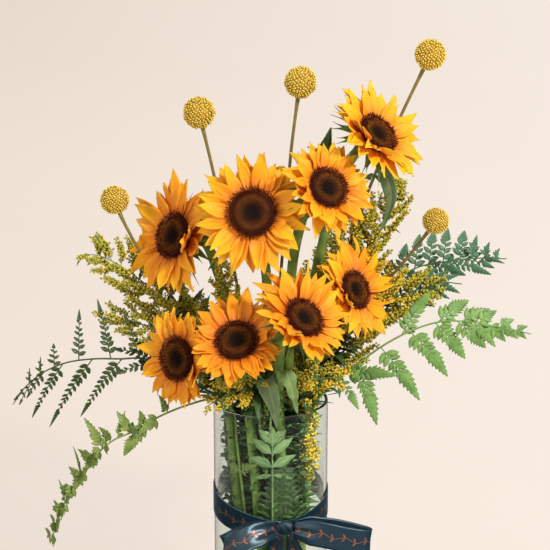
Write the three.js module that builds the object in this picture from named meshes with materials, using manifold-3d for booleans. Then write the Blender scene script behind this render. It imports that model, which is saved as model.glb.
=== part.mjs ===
// Sunflowers in a vase: a glass cylinder vase with a satin bow round it, eight sunflowers,
// five craspedia balls, fern fronds, goldenrod sprays and loose leaves.
// Millimetres, +Z up. The vase stands on z = 0 with its axis on the Z axis; the front is -Y.

import * as THREE from "three";
import { mergeVertices } from "three/addons/utils/BufferGeometryUtils.js";
import Module from "manifold-3d";

const wasm = await Module();
wasm.setup();

// Driving dimensions.
const VASE_DIAMETER = 110;
const VASE_HEIGHT = 250;
const VASE_WALL = 3;
const VASE_BASE = 8;
const BLOOM_DIAMETER = 114; // the widest sunflower, petal tip to petal tip
const STEM_DIAMETER = 9.5; // a sunflower stem
const BALL_DIAMETER = 31; // the widest craspedia ball
const BALL_STEM_DIAMETER = 3;
const RIBBON_WIDTH = 25;
const RIBBON_THICKNESS = 0.8;
const GAP = 0.3; // left between pieces that touch

// The bouquet is laid out for this bloom and this vase, and spreads when either grows.
const LAYOUT_BLOOM = 114;
const LAYOUT_VASE = 110;
const LAYOUT_HEIGHT = 250;
const SPREAD = Math.max(BLOOM_DIAMETER / LAYOUT_BLOOM, VASE_DIAMETER / LAYOUT_VASE);
const BLOOM_SCALE = BLOOM_DIAMETER / LAYOUT_BLOOM;

const VASE_RADIUS = VASE_DIAMETER / 2;
const BORE_RADIUS = VASE_RADIUS - VASE_WALL;
const FOOT_SCALE = 0.62; // stems draw together towards the bottom of the vase
const FOOT_TURN = THREE.MathUtils.degToRad(25);
const STEM_TO_GLASS = 1.5;
const SPRIG_RADIUS = 1.3; // fern and goldenrod stems
const FOOT_CLEARANCE = 4; // from the vase's base up to a pressed frond's foot
const STALK_HALF = 0.9; // half the width of a leaf's stalk
const LEAF_THICKNESS = 0.9;
const BARE_STEPS = 14; // how finely a frond's bare stalk follows its curve
const SPRAY_STEPS = 14; // and a goldenrod stem
const UP = new THREE.Vector3(0, 0, 1);
const FROND_SPREAD = new THREE.Vector3(0, 0.29, 0.96); // the way leaflets and plumes spread
const GOLDEN_ANGLE = THREE.MathUtils.degToRad(137.5);

const part = new THREE.Group();
part.name = "sunflowers_in_a_vase";

const material = (name, color, roughness, metalness = 0) => {
  const made = new THREE.MeshStandardMaterial({ color, roughness, metalness });
  made.name = name;
  return made;
};

const glass = material("clear_glass", "#dfe9e6", 0.05);
const satin = material("ribbon_satin", "#1c3243", 0.35);
const petalYellow = material("sunflower_petal", "#f2a012", 0.6);
const discBrown = material("sunflower_disc", "#2c1710", 0.9);
const stemGreen = material("flower_stem", "#6f8a3c", 0.6);
const ballYellow = material("craspedia_ball", "#cdb035", 0.9);
const ballStemTan = material("craspedia_stem", "#8d7a4a", 0.8);
const fernGreen = material("fern_leaf", "#4f7f4a", 0.6);
const goldenrodYellow = material("goldenrod_bud", "#b9a83a", 0.8);
const leafGreen = material("broad_leaf", "#5c7a4a", 0.6);

// ---------------------------------------------------------------- helpers

// One closed surface with shared vertices, its triangles facing out.
function weld(geometry) {
  const bare = geometry.clone();
  bare.deleteAttribute("normal");
  bare.deleteAttribute("uv");
  const welded = mergeVertices(bare, 1e-4);
  const index = welded.index.array;
  const at = welded.attributes.position;
  const kept = [];
  let volume = 0;
  const a = new THREE.Vector3();
  const b = new THREE.Vector3();
  const c = new THREE.Vector3();
  for (let i = 0; i < index.length; i += 3) {
    const [p, q, r] = [index[i], index[i + 1], index[i + 2]];
    if (p === q || q === r || r === p) continue;
    kept.push(p, q, r);
    a.fromBufferAttribute(at, p);
    b.fromBufferAttribute(at, q);
    c.fromBufferAttribute(at, r);
    volume += a.dot(b.cross(c));
  }
  if (volume < 0) {
    for (let i = 0; i < kept.length; i += 3) {
      [kept[i], kept[i + 1]] = [kept[i + 1], kept[i]];
    }
  }
  welded.setIndex(kept);
  return welded;
}

function toSolid(geometry) {
  const welded = weld(geometry);
  return new wasm.Manifold(
    new wasm.Mesh({
      numProp: 3,
      vertProperties: new Float32Array(welded.attributes.position.array),
      triVerts: new Uint32Array(welded.index.array),
    })
  );
}

function fromSolid(solid) {
  const mesh = solid.getMesh();
  const geometry = new THREE.BufferGeometry();
  geometry.setAttribute("position", new THREE.BufferAttribute(mesh.vertProperties, 3));
  geometry.setIndex(new THREE.BufferAttribute(mesh.triVerts, 1));
  return geometry;
}

function joined(geometries) {
  let whole = toSolid(geometries[0]);
  for (const geometry of geometries.slice(1)) {
    whole = whole.add(toSolid(geometry));
  }
  return fromSolid(whole);
}

function add(name, geometry, surface) {
  const shape = weld(geometry);
  shape.computeVertexNormals();
  const mesh = new THREE.Mesh(shape, surface);
  mesh.name = name;
  part.add(mesh);
}

// A turned solid about +Z from [radius, height] pairs.
function turned(profile, segments) {
  const points = profile.map(([r, z]) => new THREE.Vector2(r, z));
  return new THREE.LatheGeometry(points, segments).rotateX(Math.PI / 2);
}

function outline(points) {
  return new THREE.Shape(points.map(([x, y]) => new THREE.Vector2(x, y)));
}

function extruded(shape, depth) {
  return new THREE.ExtrudeGeometry(shape, { depth, bevelEnabled: false, steps: 1 });
}

function tube(points, radius, sides, steps) {
  const ring = [];
  for (let i = 0; i < sides; i += 1) {
    const turn = (2 * Math.PI * i) / sides;
    ring.push([radius * Math.cos(turn), radius * Math.sin(turn)]);
  }
  const extrudePath = new THREE.CatmullRomCurve3(points);
  return new THREE.ExtrudeGeometry(outline(ring), { extrudePath, steps, bevelEnabled: false });
}

function moveVertices(geometry, move) {
  const at = geometry.attributes.position;
  const point = new THREE.Vector3();
  for (let i = 0; i < at.count; i += 1) {
    point.fromBufferAttribute(at, i);
    move(point);
    at.setXYZ(i, point.x, point.y, point.z);
  }
  return geometry;
}

// A place in the bouquet: x and y from the vase's axis, `up` from its rim.
function spot([x, y, up]) {
  return new THREE.Vector3(x * SPREAD, y * SPREAD, VASE_HEIGHT + up * SPREAD);
}

// Where a stem stands in the vase, from `depth` 0 (the rim) to 1 (the foot of the longest stem).
function inVase(angle, share, stemRadius, depth) {
  const reach = (BORE_RADIUS - stemRadius - STEM_TO_GLASS) * share;
  const turn = THREE.MathUtils.degToRad(angle);
  const mouth = new THREE.Vector2(reach * Math.cos(turn), reach * Math.sin(turn));
  const foot = mouth.clone().multiplyScalar(FOOT_SCALE);
  foot.rotateAround(new THREE.Vector2(), FOOT_TURN);
  const at = mouth.lerp(foot, depth);
  const lowest = VASE_BASE + GAP + stemRadius * 0.25;
  return new THREE.Vector3(at.x, at.y, THREE.MathUtils.lerp(VASE_HEIGHT, lowest, depth));
}

// The control points of a stem from its lower end up to the rim. The last bend before the rim
// keeps its distance below it, so that stems cross the rim alike in a vase of any height.
function rootRun(angle, share, stemRadius, depth) {
  const bend = (depth / 6) * ((LAYOUT_HEIGHT * SPREAD) / VASE_HEIGHT);
  const steps = [depth, depth / 2, bend, 0];
  return steps.map((step) => inVase(angle, share, stemRadius, step));
}

// Turns +Z to `facing` and moves the origin to `centre`.
function placed(geometry, centre, facing) {
  const turn = new THREE.Quaternion().setFromUnitVectors(UP, facing);
  return geometry.applyMatrix4(
    new THREE.Matrix4().compose(centre, turn, new THREE.Vector3(1, 1, 1))
  );
}

// A thin sheet from rows of [left, right] points and side lobes. Each point is [x, y] with x
// along the path and y across it. A lobe hangs on one side between a row and the next.
function flatSheet(rows, lobes, thickness) {
  const points = [];
  const faces = [];
  const put = (point) => points.push(point) - 1;
  const left = rows.map((row) => put(row[0]));
  const right = rows.map((row) => put(row[1]));
  for (let i = 0; i + 1 < rows.length; i += 1) {
    faces.push([left[i], right[i], right[i + 1]], [left[i], right[i + 1], left[i + 1]]);
  }
  for (const lobe of lobes) {
    const edge = lobe.side > 0 ? left : right;
    const [near, tip, far] = lobe.corners.map(put);
    const corners = [edge[lobe.row], edge[lobe.row + 1], far, tip, near];
    if (lobe.side < 0) corners.reverse();
    for (let k = 1; k + 1 < corners.length; k += 1) {
      faces.push([corners[0], corners[k], corners[k + 1]]);
    }
  }
  const count = points.length;
  const edges = new Map();
  for (const face of faces) {
    face.forEach((from, k) => edges.set(`${from},${face[(k + 1) % 3]}`, [from, face[(k + 1) % 3]]));
  }
  const index = [];
  for (const [a, b, c] of faces) {
    index.push(a, b, c, c + count, b + count, a + count);
  }
  for (const [from, to] of edges.values()) {
    if (edges.has(`${to},${from}`)) continue;
    index.push(to, from, from + count, to, from + count, to + count);
  }
  const flat = [thickness / 2, -thickness / 2].flatMap((z) => points.flatMap(([x, y]) => [x, y, z]));
  const geometry = new THREE.BufferGeometry();
  geometry.setAttribute("position", new THREE.Float32BufferAttribute(flat, 3));
  geometry.setIndex(index);
  return geometry;
}

// Carries a flat sheet onto a curve in space. `hint` is the direction its +y takes as nearly
// as it can; `cupping` bends its sides down.
function carried(sheet, path, hint, cupping = 0) {
  const length = path.getLength();
  return moveVertices(sheet, (point) => {
    const share = THREE.MathUtils.clamp(point.x / length, 0, 1);
    const along = path.getTangentAt(share);
    const across = hint.clone().addScaledVector(along, -hint.dot(along)).normalize();
    const out = along.clone().cross(across);
    const spare = point.x - share * length;
    const lift = point.z - cupping * Math.abs(point.y);
    const base = path.getPointAt(share).addScaledVector(along, spare);
    point.copy(base.addScaledVector(across, point.y).addScaledVector(out, lift));
  });
}

// ---------------------------------------------------------------- vase

function addVase() {
  const rimRound = VASE_WALL / 3;
  add(
    "vase",
    turned(
      [
        [0, 0],
        [VASE_RADIUS - 1, 0],
        [VASE_RADIUS, 1],
        [VASE_RADIUS, VASE_HEIGHT - rimRound],
        [VASE_RADIUS - rimRound, VASE_HEIGHT],
        [BORE_RADIUS + rimRound, VASE_HEIGHT],
        [BORE_RADIUS, VASE_HEIGHT - rimRound],
        [BORE_RADIUS, VASE_BASE + 2],
        [BORE_RADIUS - 2, VASE_BASE],
        [0, VASE_BASE],
      ],
      48
    ),
    glass
  );
}

// ---------------------------------------------------------------- ribbon and bow

const BAND_INNER = VASE_RADIUS + GAP;
const BAND_OUTER = BAND_INNER + RIBBON_THICKNESS;
const KNOT_HEIGHT = VASE_HEIGHT * 0.557;
const KNOT_X = VASE_RADIUS * 0.25;
// Half the knot across, front to back and up.
const KNOT_HALF = [0.36, 0.22, 0.32].map((share) => share * RIBBON_WIDTH);
const BAND_DROP = 8; // how far the band dips from the vase's sides to its front
const BAND_GATHER = 0.45; // the band's width at the knot, as a share of the ribbon's
const KNOT_Y = -Math.sqrt(BAND_OUTER ** 2 - KNOT_X ** 2) - KNOT_HALF[1] + 2;
const KNOT = new THREE.Vector3(KNOT_X, KNOT_Y, KNOT_HEIGHT);

function addBand() {
  const half = RIBBON_WIDTH / 2;
  const ring = turned(
    [
      [BAND_INNER, -half],
      [BAND_OUTER, -half],
      [BAND_OUTER, half],
      [BAND_INNER, half],
      [BAND_INNER, -half],
    ],
    48
  );
  const knotTurn = Math.atan2(KNOT_Y, KNOT_X);
  moveVertices(ring, (point) => {
    const facing = Math.cos(Math.atan2(point.y, point.x) - knotTurn);
    const narrowed = 1 - (1 - BAND_GATHER) * Math.max(0, facing) ** 6;
    point.z = point.z * narrowed + KNOT_HEIGHT + BAND_DROP * (1 - facing);
  });
  add("ribbon_band", ring, satin);
}

function addKnot() {
  const ball = new THREE.SphereGeometry(1, 12, 8).scale(...KNOT_HALF);
  ball.translate(KNOT.x, KNOT.y, KNOT.z);
  const clear = turned(
    [
      [0, 0],
      [BAND_OUTER + GAP, 0],
      [BAND_OUTER + GAP, VASE_HEIGHT],
      [0, VASE_HEIGHT],
    ],
    48
  );
  add("bow_knot", fromSolid(toSolid(ball).subtract(toSolid(clear))), satin);
}

// A loop of the bow: an upright band bent into a long teardrop, `plan` its outer line
// from above with the knot's side first, in ribbon widths from the knot's centre.
function addLoop(name, plan, tilt, droop) {
  const outer = plan.map(([x, y]) => new THREE.Vector2(x, y).multiplyScalar(RIBBON_WIDTH));
  if (THREE.ShapeUtils.area(outer) < 0) outer.reverse();
  const count = outer.length;
  const inner = outer.map((point, i) => {
    const before = outer[(i + count - 1) % count];
    const after = outer[(i + 1) % count];
    const along = after.clone().sub(before).normalize();
    const inward = new THREE.Vector2(-along.y, along.x);
    return point.clone().addScaledVector(inward, RIBBON_THICKNESS);
  });
  const shape = new THREE.Shape(outer);
  shape.holes.push(new THREE.Path(inner));
  const loop = extruded(shape, RIBBON_WIDTH).translate(0, 0, -RIBBON_WIDTH / 2);
  moveVertices(loop, (point) => {
    const far = Math.abs(point.x) / RIBBON_WIDTH;
    const gathered = THREE.MathUtils.clamp(0.25 + far * 0.75, 0.25, 1);
    point.z *= gathered;
    const lean = tilt * Math.min(1, far);
    point.set(point.x, point.y - point.z * Math.sin(lean), point.z * Math.cos(lean));
    point.z -= droop * far * far;
  });
  loop.translate(KNOT.x, KNOT.y, KNOT.z);
  add(name, loop, satin);
}

// A tail: a ribbon end hanging from under the knot, cut on the slant.
function addTail(name, lean, length, cutSlant) {
  const half = RIBBON_WIDTH / 2;
  const top = KNOT.z - KNOT_HALF[2] - GAP;
  const side = Math.sign(lean);
  const startX = KNOT.x + side * (half * 0.35 + 1);
  const path = new THREE.CatmullRomCurve3([
    new THREE.Vector3(startX, KNOT.y - 1, top),
    new THREE.Vector3(startX + lean * 0.3, KNOT.y - 5, top - length * 0.3),
    new THREE.Vector3(startX + lean * 0.62, KNOT.y - 2.5, top - length * 0.64),
    new THREE.Vector3(startX + lean, KNOT.y - 4.5, top - length),
  ]);
  const run = path.getLength();
  const count = 7;
  const rows = [];
  for (let i = 0; i <= count; i += 1) {
    const share = i / count;
    const width = half * Math.min(1, 0.35 + share * 2);
    const slant = i === count ? cutSlant : 0;
    rows.push([[run * share - slant, width], [run * share + slant, -width]]);
  }
  const sheet = flatSheet(rows, [], RIBBON_THICKNESS);
  add(name, carried(sheet, path, new THREE.Vector3(1, 0, 0)), satin);
}

// ---------------------------------------------------------------- sunflowers

const STEM_RADIUS = STEM_DIAMETER / 2;
const CUP_OVERHANG = 3; // the green cup past the disc
const CUP_DEPTH = 9;
const PETAL_THICKNESS = 0.9;
const BRACT_THICKNESS = 0.9;

// The height of a petal ring at radius r and turn angle, from the head's own face.
function petalLift(flower, r, inner, tip, turn, layer) {
  const share = THREE.MathUtils.clamp((r - inner) / (tip - inner), 0, 1.1);
  const fold = Math.max(0, Math.cos(turn - flower.foldTurn)) ** 3;
  const slope = flower.cup + layer * 0.09 + flower.fold * fold;
  return (tip - inner) * (slope * share - flower.droop * share * share);
}

function petalRing(flower, tip, inner) {
  const count = flower.petals;
  const pitch = (2 * Math.PI) / count;
  const points = [];
  for (let i = 0; i < count; i += 1) {
    const turn = i * pitch;
    const own = tip * (1 - 0.07 * (1 + Math.sin(i * 2.4)));
    const corners = [
      [inner + (tip - inner) * 0.3, -0.5],
      [inner + (tip - inner) * 0.62, -0.42],
      [own, 0.12 * Math.sin(i * 1.7)],
      [inner + (tip - inner) * 0.62, 0.42],
    ];
    for (const [r, share] of corners) {
      points.push([r * Math.cos(turn + share * pitch), r * Math.sin(turn + share * pitch)]);
    }
  }
  const shape = outline(points);
  const hole = [];
  for (let i = 0; i < 16; i += 1) {
    const turn = (2 * Math.PI * i) / 16;
    hole.push(new THREE.Vector2(inner * Math.cos(turn), inner * Math.sin(turn)));
  }
  shape.holes.push(new THREE.Path(hole));
  const ring = extruded(shape, PETAL_THICKNESS);
  return moveVertices(ring, (point) => {
    const r = Math.hypot(point.x, point.y);
    const turn = Math.atan2(point.y, point.x);
    const place = (((turn / pitch) % count) + count) % count;
    const fromMiddle = Math.abs(place - Math.round(place));
    const layer = (Math.round(place) % 2 === 0 ? 1 : -1) * (fromMiddle < 0.47 ? 1 : 0);
    point.z += petalLift(flower, r, inner, tip, turn, layer) + GAP;
  });
}

function bractStar(discRadius, tip) {
  const count = 11;
  const inner = discRadius + CUP_OVERHANG - 1;
  const points = [];
  for (let i = 0; i < count; i += 1) {
    const pitch = (2 * Math.PI) / count;
    const turn = i * pitch;
    const own = tip * (1 - 0.1 * (1 + Math.sin(i * 2.1)));
    for (const [r, share] of [[inner, -0.5], [own, 0.1], [(inner + own) / 2, 0.32]]) {
      points.push([r * Math.cos(turn + share * pitch), r * Math.sin(turn + share * pitch)]);
    }
  }
  const star = extruded(outline(points), BRACT_THICKNESS);
  return moveVertices(star, (point) => {
    const r = Math.hypot(point.x, point.y);
    const past = Math.max(0, r - inner);
    point.z -= BRACT_THICKNESS + GAP + past * 0.32 + (past * past) / 160;
  });
}

function addSunflower(name, flower) {
  const centre = spot(flower.at);
  const facing = new THREE.Vector3(...flower.facing).normalize();
  const tip = (flower.diameter / 2) * BLOOM_SCALE;
  const discRadius = (flower.disc / 2) * BLOOM_SCALE;
  const cupRadius = discRadius + CUP_OVERHANG;

  const dome = turned(
    [
      [0, GAP],
      [discRadius - GAP, GAP],
      [discRadius - GAP, discRadius * 0.16],
      [discRadius * 0.78, discRadius * 0.3],
      [0, discRadius * 0.2],
    ],
    16
  );
  add(`${name}_disc`, placed(dome, centre, facing), discBrown);

  const petals = petalRing(flower, tip, discRadius);
  add(`${name}_petals`, placed(petals, centre, facing), petalYellow);

  const cup = turned(
    [
      [0, 0],
      [cupRadius, 0],
      [cupRadius, -2.5],
      [discRadius * 0.7, -CUP_DEPTH],
      [STEM_RADIUS, -CUP_DEPTH - 6],
      [0, -CUP_DEPTH - 6],
    ],
    11
  );
  const back = (distance) => centre.clone().addScaledVector(facing, -distance);
  const run = rootRun(flower.mouth[0], flower.mouth[1], STEM_RADIUS, 1);
  for (const point of flower.via ?? []) {
    run.push(spot(point));
  }
  run.push(back(CUP_DEPTH + 26 * BLOOM_SCALE), back(CUP_DEPTH));
  const pieces = [tube(run, STEM_RADIUS, 6, 12), placed(cup, centre, facing)];
  pieces.push(placed(bractStar(discRadius, tip * flower.bracts), centre, facing));
  for (const leaf of flower.leaves ?? []) {
    pieces.push(leafBlade(leaf));
  }
  add(`${name}_stem`, joined(pieces), stemGreen);
}

// ---------------------------------------------------------------- leaves and fronds

// A pointed leaf on a stalk: `stalk` is the share of its length before the blade.
function leafBlade(leaf) {
  const path = new THREE.CatmullRomCurve3(leaf.path.map(spot));
  const length = path.getLength();
  const half = leaf.width / 2;
  const blade = 1 - leaf.stalk;
  const stalkRows = [0, 0.25, 0.5, 0.75, 1].map((step) => [step * leaf.stalk, STALK_HALF]);
  const bladeRows = [[0.15, 0.6], [0.4, 1], [0.6, 0.9], [0.82, 0.45], [1, 0.03]].map(
    ([step, width]) => [leaf.stalk + step * blade, width * half]
  );
  const rows = [...stalkRows, ...bladeRows].map(([share, width]) => [
    [share * length, width],
    [share * length, -width],
  ]);
  const sheet = flatSheet(rows, [], LEAF_THICKNESS);
  return carried(sheet, path, new THREE.Vector3(...leaf.across), 0.12);
}

// The share of a sprig's length that is leafy: the same leafy run in a vase of any size.
function leafyShare(length, plan) {
  const depth = plan.mouth[2];
  const laidOut = (length - depth * VASE_HEIGHT) / SPREAD + depth * LAYOUT_HEIGHT;
  return (plan.leafy * laidOut * SPREAD) / length;
}

// A frond laid flat: leaflets in two rows along a rachis, longest near the foot.
function frondSheet(length, leafy, plan) {
  const start = 1 - leafy;
  const rachis = SPRIG_RADIUS * 0.9;
  const pitch = (leafy * length) / plan.pairs;
  const half = Math.min(plan.width * SPREAD, pitch * 0.8) / 2;
  const stations = [];
  for (let i = 0; i < BARE_STEPS; i += 1) stations.push((i / BARE_STEPS) * start * length);
  const lobes = [];
  for (let i = 0; i < plan.pairs; i += 1) {
    const s = start * length + pitch * (i + 0.3);
    const taper = Math.sin(Math.PI * (0.28 + (0.66 * i) / plan.pairs));
    for (const [side, longest] of [[1, plan.upper], [-1, plan.lower]]) {
      const reach = longest * taper * SPREAD;
      const lean = reach * plan.lean;
      const near = [s - half + lean * 0.45, side * reach * 0.45];
      const far = [s + half + lean * 0.45, side * reach * 0.45];
      lobes.push({ side, row: stations.length, corners: [near, [s + lean, side * reach], far] });
    }
    stations.push(s - half * 0.4, s + half * 0.4);
  }
  stations.push(length);
  const rows = stations.map((s) => [[s, rachis], [s, -rachis]]);
  return flatSheet(rows, lobes, plan.thickness ?? rachis * 1.4);
}

// A frond on a free stem that rises from the vase.
function frond(plan) {
  const path = new THREE.CatmullRomCurve3([...plan.root, ...plan.path.map(spot)]);
  const length = path.getLength();
  const sheet = frondSheet(length, leafyShare(length, plan), plan);
  return carried(sheet, path, FROND_SPREAD);
}

// A frond standing in the vase, pressed against the inside of the glass.
function pressedFrond(plan) {
  const foot = VASE_BASE + FOOT_CLEARANCE;
  const radius = BORE_RADIUS - plan.inward;
  const facing = THREE.MathUtils.degToRad(plan.angle);
  const length = VASE_HEIGHT + plan.top - foot;
  const sheet = frondSheet(length, plan.leafy, plan);
  return moveVertices(sheet, (point) => {
    const angle = facing + point.y / radius;
    const out = radius - point.z;
    point.set(Math.cos(angle) * out, Math.sin(angle) * out, foot + point.x);
  });
}

// A goldenrod spray: a thin stem with plumes of tiny buds along its upper part.
function spray(plan) {
  const run = [...plan.root, ...plan.path.map(spot)];
  const path = new THREE.CatmullRomCurve3(run);
  const joints = path.getSpacedPoints(SPRAY_STEPS);
  const pieces = [tube(run, SPRIG_RADIUS, 4, SPRAY_STEPS)];
  const leafy = leafyShare(path.getLength(), plan);
  for (let i = 0; i < plan.plumes; i += 1) {
    const last = i === plan.plumes - 1;
    const share = last ? 0.99 : 1 - leafy + (leafy * i) / plan.plumes;
    const along = path.getTangentAt(share);
    const across = FROND_SPREAD.clone().addScaledVector(along, -FROND_SPREAD.dot(along)).normalize();
    const out = along.clone().cross(across);
    const side = last ? 0 : i % 2 === 0 ? 1 : -0.85;
    const towards = along.clone().multiplyScalar(0.75).addScaledVector(across, side * 0.8);
    towards.addScaledVector(out, (last ? 0 : 0.5) * Math.sin(i * GOLDEN_ANGLE));
    const length = plan.plume * (1 - 0.35 * (i / plan.plumes)) * SPREAD;
    const half = plan.fat * SPREAD;
    const plume = turned([[0, 0], [half * 0.8, length * 0.3], [half, length * 0.6], [0, length]], 4);
    const place = share * SPRAY_STEPS;
    const joint = Math.min(Math.floor(place), SPRAY_STEPS - 1);
    const foot = joints[joint].clone().lerp(joints[joint + 1], place - joint);
    pieces.push(placed(plume, foot, towards.normalize()));
  }
  return joined(pieces);
}

// ---------------------------------------------------------------- craspedia

function addBall(name, ball) {
  const centre = spot(ball.at);
  const radius = (ball.share * BALL_DIAMETER) / 2;
  const stemRadius = BALL_STEM_DIAMETER / 2;
  const from = spot(ball.from);
  const down = from.clone().sub(centre).normalize();
  const top = centre.clone().addScaledVector(down, radius + GAP);
  const root = rootRun(ball.mouth[0], ball.mouth[1], stemRadius, 0.97);
  const run = [...root, ...(ball.via ?? []).map(spot), from, top];
  add(`${name}_stem`, tube(run, stemRadius, 5, 12), ballStemTan);
  const head = new THREE.IcosahedronGeometry(radius, 2).translate(centre.x, centre.y, centre.z);
  add(`${name}_head`, head, ballYellow);
}

// ---------------------------------------------------------------- the arrangement

const SUNFLOWERS = {
  sunflower_top_right: {
    at: [96, -10, 259],
    facing: [0.58, -0.47, 0.67],
    diameter: 108,
    disc: 40,
    petals: 24,
    cup: 0.3,
    droop: 0.3,
    fold: 0.35,
    foldTurn: 3.9,
    bracts: 0.95,
    mouth: [47, 0.83],
    via: [[46, 32, 130]],
    leaves: [
      {
        path: [[66, 16, 214], [92, 2, 218], [106, -12, 222], [112, -22, 206], [108, -26, 188],
          [101, -26, 172]],
        width: 15,
        stalk: 0.22,
        across: [0.75, -0.6, 0.3],
      },
    ],
  },
  sunflower_upper_right: {
    at: [50, -54, 220],
    facing: [0.45, -0.72, 0.53],
    diameter: 96,
    disc: 38,
    petals: 22,
    cup: 0.1,
    droop: 0.15,
    fold: 0.3,
    foldTurn: 3.1,
    bracts: 0.85,
    mouth: [16, 0.4],
    via: [[20, -2, 130]],
    leaves: [
      {
        path: [[34, -24, 190], [40, -10, 210], [46, -2, 232], [52, -2, 250], [56, -2, 266]],
        width: 17,
        stalk: 0.3,
        across: [0.9, 0.3, -0.2],
      },
    ],
  },
  sunflower_centre: {
    at: [-16, -58, 199],
    facing: [-0.05, -0.91, 0.4],
    diameter: 114,
    disc: 45,
    petals: 26,
    cup: 0.08,
    droop: 0.16,
    fold: 0,
    foldTurn: 0,
    bracts: 0.92,
    mouth: [113, 0.28],
    via: [[-4, -8, 130]],
  },
  sunflower_upper_left: {
    at: [-87, -8, 163],
    facing: [-0.72, -0.61, 0.34],
    diameter: 108,
    disc: 43,
    petals: 24,
    cup: 0.1,
    droop: 0.14,
    fold: 0.3,
    foldTurn: 0.2,
    bracts: 0.9,
    mouth: [139, 0.81],
    via: [[-48, 26, 110]],
  },
  sunflower_low_left: {
    at: [-83, -55, 59],
    facing: [-0.68, -0.71, 0.19],
    diameter: 87,
    disc: 41,
    petals: 22,
    cup: 0.12,
    droop: 0.16,
    fold: 0,
    foldTurn: 0,
    bracts: 0.95,
    mouth: [202, 0.94],
  },
  sunflower_low_centre: {
    at: [-30, -85, 84],
    facing: [-0.1, -0.68, 0.73],
    diameter: 90,
    disc: 39,
    petals: 22,
    cup: 0.12,
    droop: 0.12,
    fold: 0.2,
    foldTurn: 1.4,
    bracts: 0.8,
    mouth: [242, 0.92],
  },
  sunflower_low_right: {
    at: [28, -92, 108],
    facing: [0.5, -0.53, 0.68],
    diameter: 96,
    disc: 38,
    petals: 22,
    cup: 0.12,
    droop: 0.14,
    fold: 0.3,
    foldTurn: 3.6,
    bracts: 0.95,
    mouth: [281, 0.935],
  },
  sunflower_right: {
    at: [76, -15, 112],
    facing: [0.72, -0.55, 0.43],
    diameter: 90,
    disc: 36,
    petals: 22,
    cup: 0.1,
    droop: 0.16,
    fold: 0,
    foldTurn: 0,
    bracts: 0.95,
    mouth: [349, 0.89],
  },
};

const BALLS = {
  craspedia_far_left: {
    at: [-146, 5, 195],
    share: 0.89,
    from: [-136, 8, 165],
    mouth: [165, 0.86],
    via: [[-72, 24, 58]],
  },
  craspedia_left: { at: [-67, 30, 273], share: 1, from: [-58, 32, 235], mouth: [112, 0.9] },
  craspedia_middle: { at: [28, 30, 302], share: 1, from: [22, 32, 262], mouth: [86, 0.6] },
  craspedia_top_right: {
    at: [149, 35, 327],
    share: 0.97,
    from: [132, 42, 288],
    mouth: [22, 0.8],
    via: [[90, 44, 185]],
  },
  craspedia_right: {
    at: [155, 0, 176],
    share: 0.83,
    from: [140, 10, 150],
    mouth: [7, 0.93],
    via: [[82, 34, 66]],
  },
};

const FRONDS = {
  fern_right_long: {
    mouth: [326, 0.95, 0.5],
    path: [[59, -25, 22], [84, -32, 47], [107, -36, 66], [133, -38, 81], [158, -38, 89],
      [186, -38, 89], [214, -36, 83], [244, -32, 75]],
    leafy: 0.56,
    pairs: 9,
    upper: 36,
    lower: 56,
    width: 13,
    lean: 0.5,
  },
  fern_right_back: {
    mouth: [62, 0.95, 0.5],
    path: [[72, 40, 55], [111, 50, 93], [140, 52, 114], [169, 52, 121], [198, 50, 125], [228, 48, 125]],
    leafy: 0.36,
    pairs: 8,
    upper: 26,
    lower: 16,
    width: 9,
    lean: 0.4,
  },
  fern_right_mid: {
    mouth: [34, 0.95, 0.5],
    path: [[72, 25, 40], [110, 30, 79], [139, 32, 98], [163, 32, 106], [184, 30, 105]],
    leafy: 0.3,
    pairs: 6,
    upper: 14,
    lower: 16,
    width: 9,
    lean: 0.45,
  },
  fern_left_upper: {
    mouth: [182, 0.95, 0.5],
    path: [[-68, -4, 13], [-96, -11, 36], [-121, -18, 46], [-142, -25, 48], [-167, -31, 50],
      [-193, -34, 47], [-215, -38, 38], [-228, -42, 28], [-241, -45, 14]],
    leafy: 0.55,
    pairs: 9,
    upper: 54,
    lower: 58,
    width: 13,
    lean: 0.4,
  },
  fern_left_lower: {
    mouth: [222, 0.95, 0.5],
    path: [[-54, -38, 12], [-76, -46, 10], [-104, -54, 1], [-127, -60, -11], [-148, -66, -19],
      [-164, -70, -33], [-178, -72, -53], [-193, -74, -78], [-208, -76, -118]],
    leafy: 0.56,
    pairs: 10,
    upper: 24,
    lower: 26,
    width: 9,
    lean: 0.6,
  },
};

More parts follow.
